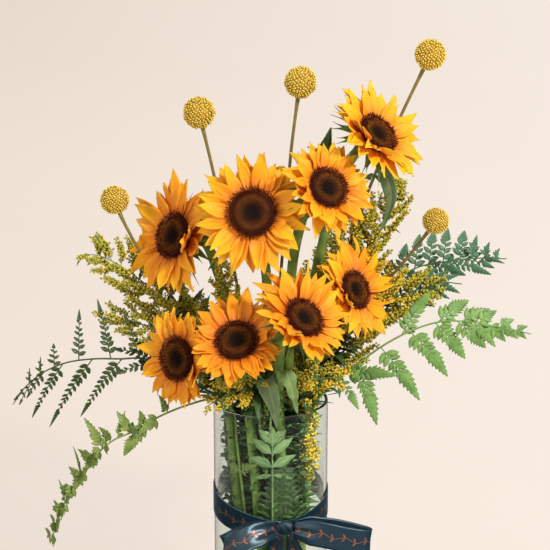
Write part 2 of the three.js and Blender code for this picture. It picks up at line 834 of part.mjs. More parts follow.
const SPRAYS = {
  goldenrod_left_upper: {
    mouth: [152, 0.98, 0.6],
    path: [[-77, 32, 63], [-110, 26, 97], [-138, 16, 124], [-161, 6, 140], [-174, -2, 144]],
    leafy: 0.42,
    plumes: 8,
    plume: 30,
    fat: 4.5,
  },
  goldenrod_left_low: {
    mouth: [193, 0.58, 0.6],
    path: [[-50, -2, 30], [-80, 13, 62], [-112, 16, 66], [-140, 14, 74], [-162, 10, 82]],
    leafy: 0.35,
    plumes: 7,
    plume: 26,
    fat: 4.5,
  },
  goldenrod_centre: {
    mouth: [240, 0.34, 0.6],
    path: [[-24, -16, 57], [-36, -22, 98], [-45, -24, 127], [-48, -24, 143]],
    leafy: 0.3,
    plumes: 7,
    plume: 24,
    fat: 4.5,
  },
  goldenrod_right_upper: {
    mouth: [74, 0.95, 0.6],
    path: [[44, 44, 50], [72, 44, 96], [97, 42, 146], [116, 42, 177], [127, 42, 199]],
    leafy: 0.42,
    plumes: 9,
    plume: 32,
    fat: 4.5,
  },
  goldenrod_right_low: {
    mouth: [14, 0.56, 0.6],
    path: [[62, 12, 45], [100, 17, 85], [133, 18, 101], [162, 17, 104]],
    leafy: 0.38,
    plumes: 8,
    plume: 28,
    fat: 4.5,
  },
  goldenrod_front_left: {
    mouth: [257, 0.7, 0.6],
    path: [[-15, -54, 26], [-25, -68, 33], [-42, -78, 30], [-60, -80, 20]],
    leafy: 0.16,
    plumes: 6,
    plume: 18,
    fat: 4,
  },
  goldenrod_in_vase: {
    mouth: [318, 0.66, 0.75],
    path: [[27, -22, 12], [31, -21, 32], [34, -20, 46]],
    leafy: 0.7,
    plumes: 6,
    plume: 13,
    fat: 2.5,
  },
  goldenrod_front_right: {
    mouth: [307, 0.92, 0.6],
    path: [[34, -52, 26], [44, -62, 40], [56, -66, 44], [70, -68, 40]],
    leafy: 0.16,
    plumes: 6,
    plume: 20,
    fat: 4,
  },
};

// Loose leaves held by the mouth of the vase.
const LEAVES = {
  leaf_over_rim: {
    path: [[-10, -43, -14], [-10, -46, 12], [-8, -54, 33], [-5, -63, 40], [0, -71, 30], [4, -73, 12],
      [6, -71, -4]],
    width: 17,
    stalk: 0.3,
    across: [0.95, -0.1, 0.2],
  },
  leaf_lobed: {
    path: [[0, -46, -30], [0, -46.5, -10], [1, -48, 6], [5, -59, 26], [10, -76, 50], [14, -88, 58],
      [18, -92, 48], [22, -91, 32], [25, -87, 16]],
    width: 13,
    stalk: 0.5,
    across: [0.95, -0.1, 0.2],
  },
};

// Fronds pressed against the glass: where they face, how far they stop below the rim and how
// far they stand in from the glass.
const PRESSED = {
  fern_in_vase: {
    surface: fernGreen, angle: -77, top: -48, inward: 2.9, thickness: 0.6,
    leafy: 0.36, pairs: 6, upper: 25, lower: 23, width: 11, lean: 0.75,
  },
  sprig_in_vase: {
    surface: leafGreen, angle: -88, top: -9, inward: 1, thickness: 0.5,
    leafy: 0.3, pairs: 4, upper: 22, lower: 25, width: 14, lean: 0.45,
  },
};

addVase();
addBand();
addKnot();
addLoop(
  "bow_loop_right",
  [[0.38, -0.06], [0.44, -0.13], [1, -0.42], [2, -0.6], [3.1, -0.5],
    [3.35, -0.2], [3, 0.1], [2, 0.22], [1, 0.16], [0.44, 0.01]],
  0.25,
  0.9
);
addLoop(
  "bow_loop_left",
  [[-0.38, -0.12], [-0.44, -0.19], [-0.9, -0.75], [-1.7, -1.05], [-2.3, -0.9],
    [-2.45, -0.5], [-2.2, -0.25], [-1.5, -0.22], [-0.9, -0.2], [-0.44, -0.05]],
  -0.35,
  1.6
);
addTail("bow_tail_left", -40, 105, 12);
addTail("bow_tail_right", 22, 112, -12);

for (const [name, flower] of Object.entries(SUNFLOWERS)) {
  addSunflower(name, flower);
}
for (const [name, ball] of Object.entries(BALLS)) {
  addBall(name, ball);
}
for (const [name, plan] of Object.entries(FRONDS)) {
  plan.root = rootRun(plan.mouth[0], plan.mouth[1], SPRIG_RADIUS, plan.mouth[2]);
  add(name, frond(plan), fernGreen);
}
for (const [name, plan] of Object.entries(PRESSED)) {
  add(name, pressedFrond(plan), plan.surface);
}
for (const [name, leaf] of Object.entries(LEAVES)) {
  add(name, leafBlade(leaf), leafGreen);
}
for (const [name, plan] of Object.entries(SPRAYS)) {
  plan.root = rootRun(plan.mouth[0], plan.mouth[1], SPRIG_RADIUS, plan.mouth[2]);
  add(name, spray(plan), goldenrodYellow);
}

export default part;
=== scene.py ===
"""Sunflowers in a glass vase with a satin bow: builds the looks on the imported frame, in metres."""

import math
import random

import bpy
import numpy as np
from bpy.props import FloatProperty, FloatVectorProperty, IntProperty, PointerProperty
from bpy.types import Operator, Panel, PropertyGroup
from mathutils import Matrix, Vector


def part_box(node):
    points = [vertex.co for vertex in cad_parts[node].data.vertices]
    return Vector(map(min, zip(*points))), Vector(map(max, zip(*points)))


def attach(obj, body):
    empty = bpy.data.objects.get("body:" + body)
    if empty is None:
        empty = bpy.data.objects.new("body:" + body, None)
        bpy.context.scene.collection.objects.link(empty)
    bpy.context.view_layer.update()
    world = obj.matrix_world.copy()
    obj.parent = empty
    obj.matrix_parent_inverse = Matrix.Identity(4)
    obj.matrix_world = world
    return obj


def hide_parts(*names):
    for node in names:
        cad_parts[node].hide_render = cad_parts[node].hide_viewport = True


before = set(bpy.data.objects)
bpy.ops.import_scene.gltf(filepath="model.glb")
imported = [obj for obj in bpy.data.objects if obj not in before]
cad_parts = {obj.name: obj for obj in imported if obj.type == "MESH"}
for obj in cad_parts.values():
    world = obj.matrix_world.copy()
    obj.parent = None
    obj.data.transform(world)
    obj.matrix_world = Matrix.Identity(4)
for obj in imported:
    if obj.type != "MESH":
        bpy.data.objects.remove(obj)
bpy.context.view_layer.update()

bl_info = {
    "name": "Sunflowers in a vase",
    "version": (1, 0, 0),
    "blender": (4, 5, 0),
    "location": "View3D > Sidebar > Bouquet",
    "description": "Builds sunflowers, craspedia, goldenrod and fern in a glass vase with a satin bow",
    "category": "Object",
}

MM = 0.001
UP = np.array([0.0, 0.0, 1.0])
GOLDEN = math.radians(137.508)
SEEDS = {"sunflower": 40, "fern": 70, "pressed frond": 80, "goldenrod": 90, "leaf": 120, "pressed sprig": 130}
# How thick the thin pieces are.
THIN = {
    "petal": 0.35 * MM,
    "bract": 0.4 * MM,
    "fern": 0.3 * MM,
    "lance leaf": 0.25 * MM,
    "broad leaf": 0.35 * MM,
    "sprig": 0.3 * MM,
}


def linear(code):
    """An sRGB hex colour as linear RGBA."""
    parts = [int(code[i : i + 2], 16) / 255 for i in (1, 3, 5)]
    return tuple(c / 12.92 if c <= 0.04045 else ((c + 0.055) / 1.055) ** 2.4 for c in parts) + (1.0,)


# ---------------------------------------------------------------- sizes and colours


def size_setting(name, description, default):
    """A size setting, with its default in millimetres."""
    return FloatProperty(name=name, description=description, default=default * MM, unit="LENGTH")


def count_setting(name, description, default, least):
    return IntProperty(name=name, description=description, default=default, min=least)


def colour_setting(name, description, code):
    values = linear(code)[:3]
    return FloatVectorProperty(name=name, description=description, default=values, size=3, subtype="COLOR")


class VaseSettings(PropertyGroup):
    wall: size_setting("Wall", "Thickness of the glass wall", 3)
    base: size_setting("Base", "Thickness of the glass base", 8)
    tint: colour_setting("Glass tint", "Faint colour of the glass", "#eef5f2")


class RibbonSettings(PropertyGroup):
    width: size_setting("Width", "Width of the ribbon", 25)
    cloth: size_setting("Cloth", "Thickness of the satin", 0.35)
    print: colour_setting("Print", "Colour of the copper print", "#b9714a")


class SunflowerSettings(PropertyGroup):
    outer: count_setting("Outer petals", "Petals in the back layer", 23, 8)
    inner: count_setting("Inner petals", "Petals in the front layer", 19, 6)
    width: size_setting("Petal width", "Width of a petal at its widest", 14.6)
    florets: count_setting("Florets", "Florets on a disc", 620, 100)


class CraspediaSettings(PropertyGroup):
    florets: count_setting("Florets", "Floret heads on a ball", 360, 100)


class GreenerySettings(PropertyGroup):
    twigs: count_setting("Twigs", "Side twigs on a long goldenrod spray", 34, 4)
    bud: size_setting("Bud", "Length of a goldenrod bud", 3.7)


# ---------------------------------------------------------------- shapes


def unit(v):
    v = np.asarray(v, float)
    return v / max(np.linalg.norm(v), 1e-12)


def axes_for(direction, hint=UP):
    """Two directions square to `direction`, the second as near to `hint` as it can be."""
    d = unit(direction)
    up = np.asarray(hint, float) - d * np.dot(hint, d)
    if np.linalg.norm(up) < 1e-6:
        up = np.array([1.0, 0.0, 0.0]) - d * d[0]
    up = unit(up)
    return np.cross(up, d), up


def run_along(path):
    """How far along a path each of its points lies."""
    return np.concatenate([[0], np.cumsum(np.linalg.norm(np.diff(path, axis=0), axis=1))])


def smooth_path(points, count):
    """Points evenly spaced along a smooth curve through the given ones."""
    p = np.asarray(points, float)
    u = np.concatenate([[0], np.cumsum(np.linalg.norm(np.diff(p, axis=0), axis=1) ** 0.5)])
    slope = np.gradient(p, u, axis=0)
    dense = []
    for i in range(len(p) - 1):
        span = u[i + 1] - u[i]
        for t in np.linspace(0, 1, 24, endpoint=i == len(p) - 2):
            a, b = 2 * t**3 - 3 * t**2 + 1, t**3 - 2 * t**2 + t
            c, d = -2 * t**3 + 3 * t**2, t**3 - t**2
            dense.append(a * p[i] + b * span * slope[i] + c * p[i + 1] + d * span * slope[i + 1])
    dense = np.array(dense)
    run = run_along(dense)
    at = np.linspace(0, run[-1], count)
    return np.stack([np.interp(at, run, dense[:, k]) for k in range(3)], 1)


def directions(path):
    d = np.gradient(path, axis=0)
    return d / np.linalg.norm(d, axis=1, keepdims=True)


def circle(count, a, b):
    """Steps round a circle of radius 1, from direction `a` towards `b`."""
    turn = np.arange(count) * math.tau / count
    return np.cos(turn)[:, None] * a + np.sin(turn)[:, None] * b


def globe(rows, columns, gap):
    """Angles from pole to pole and round the axis, with a small gap left at each pole."""
    down = np.linspace(gap, math.pi - gap, rows)
    return np.meshgrid(down, np.arange(columns) * math.tau / columns, indexing="ij")


def carried(points, base, out, side, lift):
    """Points drawn along x, y and z, moved to `base` with those three along the given directions."""
    return base + points[..., :1] * out + points[..., 1:2] * side + points[..., 2:] * lift


class Sketch:
    """Collects points, faces and three numbers a point (across, along, tint) for the materials."""

    def __init__(self):
        self.points, self.faces, self.grain = [], [], []
        self.count = 0

    def add(self, points, faces, across, along, tint):
        points = np.asarray(points, float).reshape(-1, 3)
        grain = np.empty_like(points)
        grain[:, 0], grain[:, 1], grain[:, 2] = np.ravel(across), np.ravel(along), np.ravel(tint)
        self.points.append(points)
        self.grain.append(grain)
        self.faces += (np.asarray(faces) + self.count).tolist()
        self.count += len(points)

    def grid(self, points, across, along, tint, ring=False):
        """A sheet of quads from rows of points; `ring` joins each row's last point to its first."""
        rows, columns = points.shape[:2]
        i, j = np.meshgrid(np.arange(rows - 1), np.arange(columns if ring else columns - 1), indexing="ij")
        k = (j + 1) % columns
        quads = np.stack([i * columns + j, i * columns + k, (i + 1) * columns + k, (i + 1) * columns + j], -1)
        self.add(points, quads.reshape(-1, 4), across, along, tint)

    def ring_grid(self, points, tint):
        """A grid closed round on itself, with even shares across and along it."""
        rows, columns = points.shape[:2]
        share = np.repeat(np.linspace(0, 1, rows), columns)
        self.grid(points, np.tile(np.arange(columns) / columns, rows), share, tint, ring=True)

    def scatter(self, shape, faces, origins, towards, widths, lengths, along, tint):
        """Copies of a small shape: z goes along `towards`, x and y are scaled by the width."""
        towards = towards / np.linalg.norm(towards, axis=1, keepdims=True)
        side = np.cross(np.tile([0.31, 0.17, 0.93], (len(origins), 1)), towards)
        side /= np.linalg.norm(side, axis=1, keepdims=True)
        other = np.cross(towards, side)
        s = np.asarray(shape, float)[None]
        flat = s[..., :1] * side[:, None] + s[..., 1:2] * other[:, None]
        points = origins[:, None] + widths[:, None, None] * flat
        points = points + lengths[:, None, None] * s[..., 2:3] * towards[:, None]
        n = len(shape)
        copies = np.asarray(faces)[None] + (np.arange(len(origins)) * n)[:, None, None]
        each = lambda values: np.repeat(np.broadcast_to(values, len(origins)), n)
        across = np.tile(s[0, :, 2], len(origins))
        self.add(points, copies.reshape(-1, len(faces[0])), across, each(along), each(tint))

    def tube(self, path, radius, sides, tint, flutes=0.0):
        """A round stem with closed ends."""
        radius = np.broadcast_to(np.asarray(radius, float), len(path))
        d = directions(path)
        side, _ = axes_for(d[0], [0.3, 1, 0.1])
        rows = []
        turn = np.arange(sides) * math.tau / sides
        fluting = 1 + flutes * np.cos(turn * sides / 3)
        x, y = (fluting * np.cos(turn))[:, None], (fluting * np.sin(turn))[:, None]
        path = np.concatenate([path[:1], path, path[-1:]])
        d = np.concatenate([d[:1], d, d[-1:]])
        radius = np.concatenate([[radius[0] * 0.02], radius, [radius[-1] * 0.02]])
        for at, along, r in zip(path, d, radius):
            side = unit(side - along * np.dot(side, along))
            rows.append(at + r * x * side + r * y * np.cross(along, side))
        self.ring_grid(np.array(rows), tint)

    def piece(self, name, slot, node, material, thickness=0.0, smooth=True):
        mesh = bpy.data.meshes.new(name)
        mesh.from_pydata(np.concatenate(self.points).tolist(), [], self.faces)
        grain = mesh.attributes.new("grain", "FLOAT_VECTOR", "POINT")
        grain.data.foreach_set("vector", np.concatenate(self.grain).astype(np.float32).ravel())
        mesh.polygons.foreach_set("use_smooth", [smooth] * len(mesh.polygons))
        mesh.materials.append(material)
        mesh.update()
        piece = bpy.data.objects.new(name, mesh)
        bpy.context.scene.collection.objects.link(piece)
        if thickness:
            solid = piece.modifiers.new("Thickness", "SOLIDIFY")
            solid.thickness = thickness
            solid.offset = 0
        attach(piece, "root")
        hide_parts(node)
        return piece


def blade(size, half_widths, rise, curl, rows, columns, twist=0.0, keel=0.0, pleat=0.0, ripple=0.0, phase=0):
    """A petal or leaf lying along +x: `rise` is its slope at the foot, `curl` how far it bends up by its tip.

    Its cross section has a `keel` and small pleats, its edge a ripple, and it twists about its length.
    """
    t = np.linspace(0, 1, rows)
    s = np.linspace(-1, 1, columns)
    slope = rise + curl * t
    step = size / (rows - 1)
    x = np.concatenate([[0], np.cumsum(np.cos(slope[:-1]))]) * step
    z = np.concatenate([[0], np.cumsum(np.sin(slope[:-1]))]) * step
    half = np.interp(t, np.linspace(0, 1, len(half_widths)), half_widths)
    y = s[None] * half[:, None]
    lift = keel * np.abs(y) + pleat * half[:, None] * np.cos(s * 3 * math.pi)[None]
    lift = lift + ripple * np.sin(t * 11 + phase)[:, None] * s[None] * np.abs(s)[None]
    turn = twist * t[:, None]
    across = y * np.cos(turn) - lift * np.sin(turn)
    lift = y * np.sin(turn) + lift * np.cos(turn)
    slope = slope[:, None]
    points = np.stack([x[:, None] - lift * np.sin(slope), across, z[:, None] + lift * np.cos(slope)], -1)
    return points, np.tile(s * 0.5 + 0.5, rows), np.repeat(t, columns)


def along_curve(path, hint, offsets, lifts):
    """Rows of points across a curve: `offsets` go along `hint` and `lifts` square to it."""
    rows = []
    for at, d, across, lift in zip(path, directions(path), offsets, lifts):
        out, side = axes_for(d, hint)
        rows.append(at + across[:, None] * side + lift[:, None] * out)
    return np.array(rows)


def ring_points(count, radius, height):
    return [(math.cos(a) * radius, math.sin(a) * radius, height) for a in np.arange(count) * math.tau / count]


BUD = [(0, 0, 0)] + ring_points(4, 0.5, 0.55) + [(0, 0, 1)]
BUD_FACES = [(0, 2, 1), (0, 3, 2), (0, 4, 3), (0, 1, 4), (1, 2, 5), (2, 3, 5), (3, 4, 5), (4, 1, 5)]
KNOB = ring_points(6, 0.5, 0) + ring_points(6, 0.34, 0.7) + [(0, 0, 1)]
KNOB_FACES = [f for i in range(6) for f in ((i, (i + 1) % 6, 6 + (i + 1) % 6), (i, 6 + (i + 1) % 6, 6 + i))]
KNOB_FACES += [(6 + i, 6 + (i + 1) % 6, 12) for i in range(6)] + [(0, 5 - i, 4 - i) for i in range(4)]


# ---------------------------------------------------------------- where things stand in the frame


def limits(name):
    """The low and the high corner of a node's box."""
    return (np.array(corner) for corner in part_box(name))


VASE_LOW, VASE_HIGH = limits("vase")
VASE_RADIUS = (VASE_HIGH[0] - VASE_LOW[0]) / 2
VASE_HEIGHT = VASE_HIGH[2]
WALL_CLEARANCE = 3 * MM


def corners(node):
    return np.array([v.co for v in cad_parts[node].data.vertices], float)


def run_of(node, heights, reach=12 * MM):
    """The middle of a stem at each height, followed upwards through the CAD node."""
    at = corners(node)
    edges = np.array([e.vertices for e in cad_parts[node].data.edges])
    a, b = at[edges[:, 0]], at[edges[:, 1]]
    found = []
    for z in heights:
        crossing = (a[:, 2] - z) * (b[:, 2] - z) < 0
        if not crossing.any():
            continue
        share = ((z - a[:, 2]) / (b[:, 2] - a[:, 2] + 1e-12))[crossing, None]
        hits = a[crossing] + (b - a)[crossing] * share
        if found:
            guess = found[-1] if len(found) < 2 else found[-1] * 2 - found[-2]
            near = np.linalg.norm(hits[:, :2] - guess[:2], axis=1) < reach
            if not near.any():
                break
        else:
            near = np.hypot(hits[:, 0], hits[:, 1]) < VASE_RADIUS
        found.append((hits[near].min(0) + hits[near].max(0)) / 2)
    return found


def rooted_path(name, route, count):
    """A stem's path from its foot in the vase, up through the mouth, then along its route."""
    inside = corners(name)
    near = np.hypot(inside[:, 0], inside[:, 1]) < VASE_RADIUS - WALL_CLEARANCE
    inside = inside[near & (inside[:, 2] < VASE_HEIGHT)]
    heights = np.linspace(inside[:, 2].min() + 2 * MM, VASE_HEIGHT - 2 * MM, 5)
    return smooth_path(run_of(name, heights, 8 * MM) + [spot(*p) for p in route], count)


class Head:
    """Centre, facing direction, disc radius and petal reach of a sunflower, from its CAD nodes."""

    def __init__(self, name):
        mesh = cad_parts[name + "_disc"].data
        alike = {}
        for face in mesh.polygons:
            alike.setdefault(tuple(round(c, 2) for c in face.normal), []).append(face)
        flat = max(alike.values(), key=lambda faces: sum(f.area for f in faces))
        rim = np.array([mesh.vertices[i].co for f in flat for i in f.vertices])
        middle = (rim.min(0) + rim.max(0)) / 2
        self.facing = -unit(sum((np.array(f.normal) * f.area for f in flat), np.zeros(3)))
        self.centre = middle - self.facing * np.dot(middle - rim.mean(0), self.facing)
        self.disc = np.percentile(np.linalg.norm(rim - self.centre, axis=1), 95)
        self.reach = np.linalg.norm(corners(name + "_petals") - self.centre, axis=1).max()
        self.right, self.up = axes_for(self.facing)

    def behind(self, distance):
        return self.centre - self.facing * distance


def inside_glass(points, gap=2 * MM):
    """Bends a leaf that grows inside the vase along the glass, so that it never cuts the wall."""
    points = np.array(points, float)
    limit = VASE_RADIUS - WALL_CLEARANCE - gap
    radius = np.hypot(points[..., 0], points[..., 1])
    if radius.ravel()[0] > VASE_RADIUS:
        return points
    low = (points[..., 2] < VASE_HEIGHT + 2 * MM) & (radius > limit)
    points[..., :2] *= np.where(low, limit / np.maximum(radius, 1e-9), 1.0)[..., None]
    return points


def round_glass(stand, arc, z):
    """A place `stand` from the vase's axis, `arc` to the right of the front."""
    return np.array([stand * math.sin(arc / stand), -stand * math.cos(arc / stand), z])


def spot(x, y, up):
    """A place in the bouquet in metres, from millimetres beside the vase's axis and above its rim."""
    return np.array([x * MM, y * MM, VASE_HEIGHT + up * MM])


# ---------------------------------------------------------------- materials


class Wire:
    """A node's socket, which can be added, taken away, multiplied and divided as a number is."""

    def __init__(self, socket):
        self.socket, self.tree = socket, socket.id_data

    def __add__(self, other):
        return calc("ADD", self, other)

    def __sub__(self, other):
        return calc("SUBTRACT", self, other)

    def __rsub__(self, other):
        return calc("SUBTRACT", other, self)

    def __mul__(self, other):
        return calc("MULTIPLY", self, other)

    def __truediv__(self, other):
        return calc("DIVIDE", self, other)


def feed(socket, value):
    """Links a wire into a socket, or sets the socket to a number or a colour."""
    if isinstance(value, Wire):
        value.tree.links.new(value.socket, socket)
    else:
        socket.default_value = value


def node(tree, kind, feeds=None, **settings):
    """Adds a node, sets its properties and feeds its inputs."""
    made = tree.nodes.new(kind)
    for key, value in settings.items():
        setattr(made, key, value)
    for key, value in (feeds or {}).items():
        feed(made.inputs[key], value)
    return made


def calc(how, a, b=0.0):
    """A maths node on two values, at least one of them a wire."""
    tree = a.tree if isinstance(a, Wire) else b.tree
    return Wire(node(tree, "ShaderNodeMath", {0: a, 1: b}, operation=how).outputs[0])


def graded(factor, stops):
    """A colour ramp through (place, hex) stops."""
    ramp = node(factor.tree, "ShaderNodeValToRGB", {"Fac": factor})
    line = ramp.color_ramp.elements
    for end in (0, -1):
        line[end].position, line[end].color = stops[end][0], linear(stops[end][1])
    for place, code in stops[1:-1]:
        line.new(place).color = linear(code)
    return Wire(ramp.outputs["Color"])


def mixed(factor, a, b):
    """Mixes two colours, each a wire or a value."""
    return Wire(node(factor.tree, "ShaderNodeMix", {0: factor, 6: a, 7: b}, data_type="RGBA").outputs[2])


def coordinates(tree, kind):
    """The x, y and z of a texture coordinate."""
    place = node(tree, "ShaderNodeTexCoord")
    parts = node(tree, "ShaderNodeSeparateXYZ", {0: Wire(place.outputs[kind])})
    return [Wire(socket) for socket in parts.outputs]


class Finish:
    """A material being made, with the three numbers of a Sketch as wires."""

    def __init__(self, name, **inputs):
        self.material = bpy.data.materials.new(name)
        self.material.use_nodes = True
        self.tree = self.material.node_tree
        self.shader = self.tree.nodes["Principled BSDF"]
        self.set(**inputs)
        grain = node(self.tree, "ShaderNodeAttribute", attribute_name="grain")
        parts = node(self.tree, "ShaderNodeSeparateXYZ", {0: Wire(grain.outputs["Vector"])})
        self.across, self.along, self.tint = (Wire(socket) for socket in parts.outputs)

    def set(self, **inputs):
        """Feeds the shader's inputs; an underscore stands for the space in a name."""
        for key, value in inputs.items():
            feed(self.shader.inputs[key.replace("_", " ")], value)

    def noise(self, scale, detail=3.0, place=None):
        place = place or Wire(node(self.tree, "ShaderNodeTexCoord").outputs["Object"])
        made = node(self.tree, "ShaderNodeTexNoise", {"Vector": place, "Scale": scale, "Detail": detail})
        return Wire(made.outputs[0])

    def bump(self, height, distance, strength=0.6):
        """Bumps in the shading, up to `distance` millimetres."""
        feeds = {"Height": height, "Distance": distance * MM, "Strength": strength}
        self.set(Normal=Wire(node(self.tree, "ShaderNodeBump", feeds).outputs["Normal"]))


def petal_material():
    # Fresh ray petal: matt and velvety, with fine furrows along it that catch the light,
    # orange where it leaves the disc and clear yellow at the tip.
    look = Finish("Fresh sunflower petal", Roughness=0.52, IOR=1.42, Sheen_Weight=0.06, Sheen_Roughness=0.5)
    # Noise drawn out along the petal, different on each one.
    stretched = {"X": look.across * 16.0, "Y": look.along * 1.4, "Z": look.tint * 57.0}
    furrows = look.noise(1.0, place=Wire(node(look.tree, "ShaderNodeCombineXYZ", stretched).outputs[0]))
    place = look.along + (furrows - 0.5) * 0.75
    stops = [(0.0, "#b54b06"), (0.12, "#ee8406"), (0.38, "#ffae06"), (0.72, "#ffc20a"), (1.0, "#ffd61c")]
    # The deeper orange is painted shade. Petals mix towards it by their tint, which holds each flower's
    # painted shade and a random tone for each petal.
    deep = graded(place, [(0.0, "#a03a04"), (0.25, "#e06a02"), (0.7, "#fa8c04"), (1.0, "#ffa80a")])
    look.set(Base_Color=mixed(look.tint * 0.75, graded(place, stops), deep))
    look.bump(furrows, 0.7, 0.8)
    return look.material


def disc_material():
    # Disc of tiny florets: dry and dark, red-brown fringe, a speckled ring of opening
    # florets and a near-black middle that is still closed.
    look = Finish("Sunflower disc florets", Roughness=0.75, IOR=1.4, Specular_IOR_Level=0.25)
    foot = [(0.0, "#0e0605"), (0.3, "#150906"), (0.42, "#3a1d0b"), (0.66, "#5b2f0e")]
    foot += [(0.8, "#33110a"), (1.0, "#3d120b")]
    tips = [(0.0, "#2a1810"), (0.35, "#6b3710"), (0.6, "#d98420"), (0.76, "#a64f16"), (1.0, "#7c2c14")]
    tipped = calc("POWER", look.across, 2.0) * look.tint
    look.set(Base_Color=mixed(tipped, graded(look.along, foot), graded(look.along, tips)))
    look.bump(look.noise(900.0), 0.2)
    return look.material


def stem_material():
    # Thick sunflower stem and cup: fresh green, dull, in lighter and darker patches with fine hairs.
    look = Finish("Fresh sunflower stem", Roughness=0.55, IOR=1.4)
    patch = look.noise(90.0, 4.0)
    look.set(Base_Color=graded(patch, [(0.25, "#56742f"), (0.5, "#799742"), (0.75, "#9db35f")]))
    look.bump(look.noise(1400.0, 2.0), 0.25, 0.5)
    return look.material


def leaf_material(name, dark, light, vein, roughness=0.42):
    # Leaf: a waxy skin with a pale midrib, side veins and small changes of green.
    look = Finish(name, Roughness=roughness, IOR=1.45)
    patch = look.noise(120.0)
    body = mixed(look.tint * 0.45, graded(patch, [(0.3, dark), (0.7, light)]), linear(light))
    off = calc("ABSOLUTE", look.across - 0.5)
    rib = calc("MAXIMUM", 1.0 - off * 14.0, 0.0)
    waves = calc("MAXIMUM", calc("SINE", look.along * 75.0 - off * 22.0), 0.0)
    veins = calc("MAXIMUM", rib, calc("POWER", waves, 10.0) * 0.45)
    look.set(Base_Color=mixed(veins * 0.6, body, linear(vein)))
    look.bump(patch - veins * 0.6, 0.35, 0.5)
    return look.material


def ball_material():
    # Craspedia: hundreds of dry, matt floret heads, mustard yellow on top; darker towards the foot of each
    # head and on the core between them, which is painted shade in the gaps.
    look = Finish("Craspedia florets", Roughness=0.8, IOR=1.4)
    # Darker at the foot of each floret head: painted shade in the gaps between the heads.
    light = graded(look.across, [(0.0, "#b08c30"), (0.3, "#dfbc47"), (0.7, "#f2da66"), (1.0, "#fbef9a")])
    dull = graded(look.across, [(0.0, "#a17a20"), (0.4, "#d3ae38"), (1.0, "#f3dc66")])
    look.set(Base_Color=mixed(look.tint, light, dull))
    look.bump(look.noise(2200.0, 2.0), 0.2, 0.7)
    return look.material


def twig_material(name, low, high):
    # Thin woody stalk: dry bark, changing colour along its length and in patches, finely rough.
    look = Finish(name, Roughness=0.65, IOR=1.45)
    patch = look.along * 0.6 + look.noise(160.0) * 0.5
    look.set(Base_Color=graded(patch, [(0.2, high), (0.55, low), (0.95, high)]))
    look.bump(look.noise(1500.0, 2.0), 0.2)
    return look.material


def bud_material():
    # Goldenrod buds: green where they sit on the twig, opening yellow at the tip.
    look = Finish("Goldenrod buds", Roughness=0.6, IOR=1.4)
    open_bud = graded(look.across, [(0.0, "#6f8526"), (0.3, "#b8b02a"), (0.62, "#f2c524"), (1.0, "#fde05a")])
    shut_bud = graded(look.across, [(0.0, "#4c6c25"), (0.55, "#8fa23a"), (1.0, "#ccc94a")])
    look.set(Base_Color=mixed(look.tint, open_bud, shut_bud))
    look.bump(look.noise(1800.0, 2.0), 0.15, 0.5)
    return look.material


def glass_material(tint):
    # Clear soda-lime glass, blown and fire-polished: mirror-smooth, faintly green at the edges.
    # The slow waviness is the slight unevenness of a blown wall.
    look = Finish("Clear soda-lime glass", Roughness=0.0, IOR=1.5, Transmission_Weight=1.0)
    look.set(Base_Color=(*tint, 1.0), Specular_Tint=(0.4, 0.4, 0.4, 1.0))
    look.bump(look.noise(9.0, 1.0), 0.4, 0.12)
    # Lamps shine through the wall on what stands inside, as they do through thin clear glass.
    lamp = node(look.tree, "ShaderNodeLightPath").outputs["Is Shadow Ray"]
    clear = node(look.tree, "ShaderNodeBsdfTransparent", {"Color": (0.86, 0.9, 0.86, 1.0)}).outputs["BSDF"]
    feeds = {0: Wire(lamp), 1: Wire(look.shader.outputs["BSDF"]), 2: Wire(clear)}
    both = node(look.tree, "ShaderNodeMixShader", feeds)
    feed(look.tree.nodes["Material Output"].inputs["Surface"], Wire(both.outputs["Shader"]))
    return look.material


def satin_material(copper):
    # Woven polyester satin: long floats make it glossy along the ribbon, dark navy-teal with a
    # pale blue sheen, and small sprigs of leaves printed in copper down the middle.
    look = Finish("Woven navy satin", Roughness=0.3, IOR=1.55, Anisotropic=0.6)
    look.set(Sheen_Weight=0.5, Sheen_Roughness=0.3, Sheen_Tint=linear("#9cc4dd"))
    look.set(Specular_IOR_Level=1.0, Specular_Tint=linear("#bcd9ea"))
    # A thin copper vine that swings from side to side, with a pair of slanting leaves every 11 mm.
    step = 11.0
    off = calc("ABSOLUTE", look.across - calc("SINE", look.along * (math.pi / step)) * 1.6)
    down = (calc("FRACT", look.along / step) - 0.5) * step
    long = (off * 0.8 - down * 0.6 - 2.5) / 2.1
    wide = (off * 0.6 + down * 0.8) / 0.7
    leaf = calc("LESS_THAN", long * long + wide * wide, 1.0)
    printed = calc("MAXIMUM", leaf, calc("LESS_THAN", off, 0.28))
    ground = mixed(look.noise(40.0, 2.0), linear("#0c1c27"), linear("#183444"))
    look.set(Base_Color=mixed(printed, ground, (*copper, 1.0)), Metallic=printed * 0.6)
    # Thread ribs across the ribbon, drawn at 0.5 mm, as coarse as they need to be to show.
    look.bump(calc("SINE", look.along * 12.6), 0.05, 0.35)
    return look.material


def stage_material():
    # Studio sweep: matt, pale warm cream paint that also glows. The glow is painted light: it lifts the
    # sweep's shadows and runs from dimmer on the left to brighter on the right. The sweep's own paint is kept
    # dark, so the glow sets most of its brightness.
    look = Finish("Matt cream studio sweep", Roughness=0.95, IOR=1.4, Specular_IOR_Level=0.1)
    # Painted light: the glow grades from the left edge to the right one, brighter on the right.
    share = coordinates(look.tree, "Object")[0] * 0.5 + 0.5
    look.set(Emission_Color=graded(share, [(0.0, "#d7cabe"), (1.0, "#eae0d7")]), Emission_Strength=1.0)
    look.set(Base_Color=graded(look.noise(3.0), [(0.0, "#6a6560"), (1.0, "#726d68")]))
    return look.material


# ---------------------------------------------------------------- vase


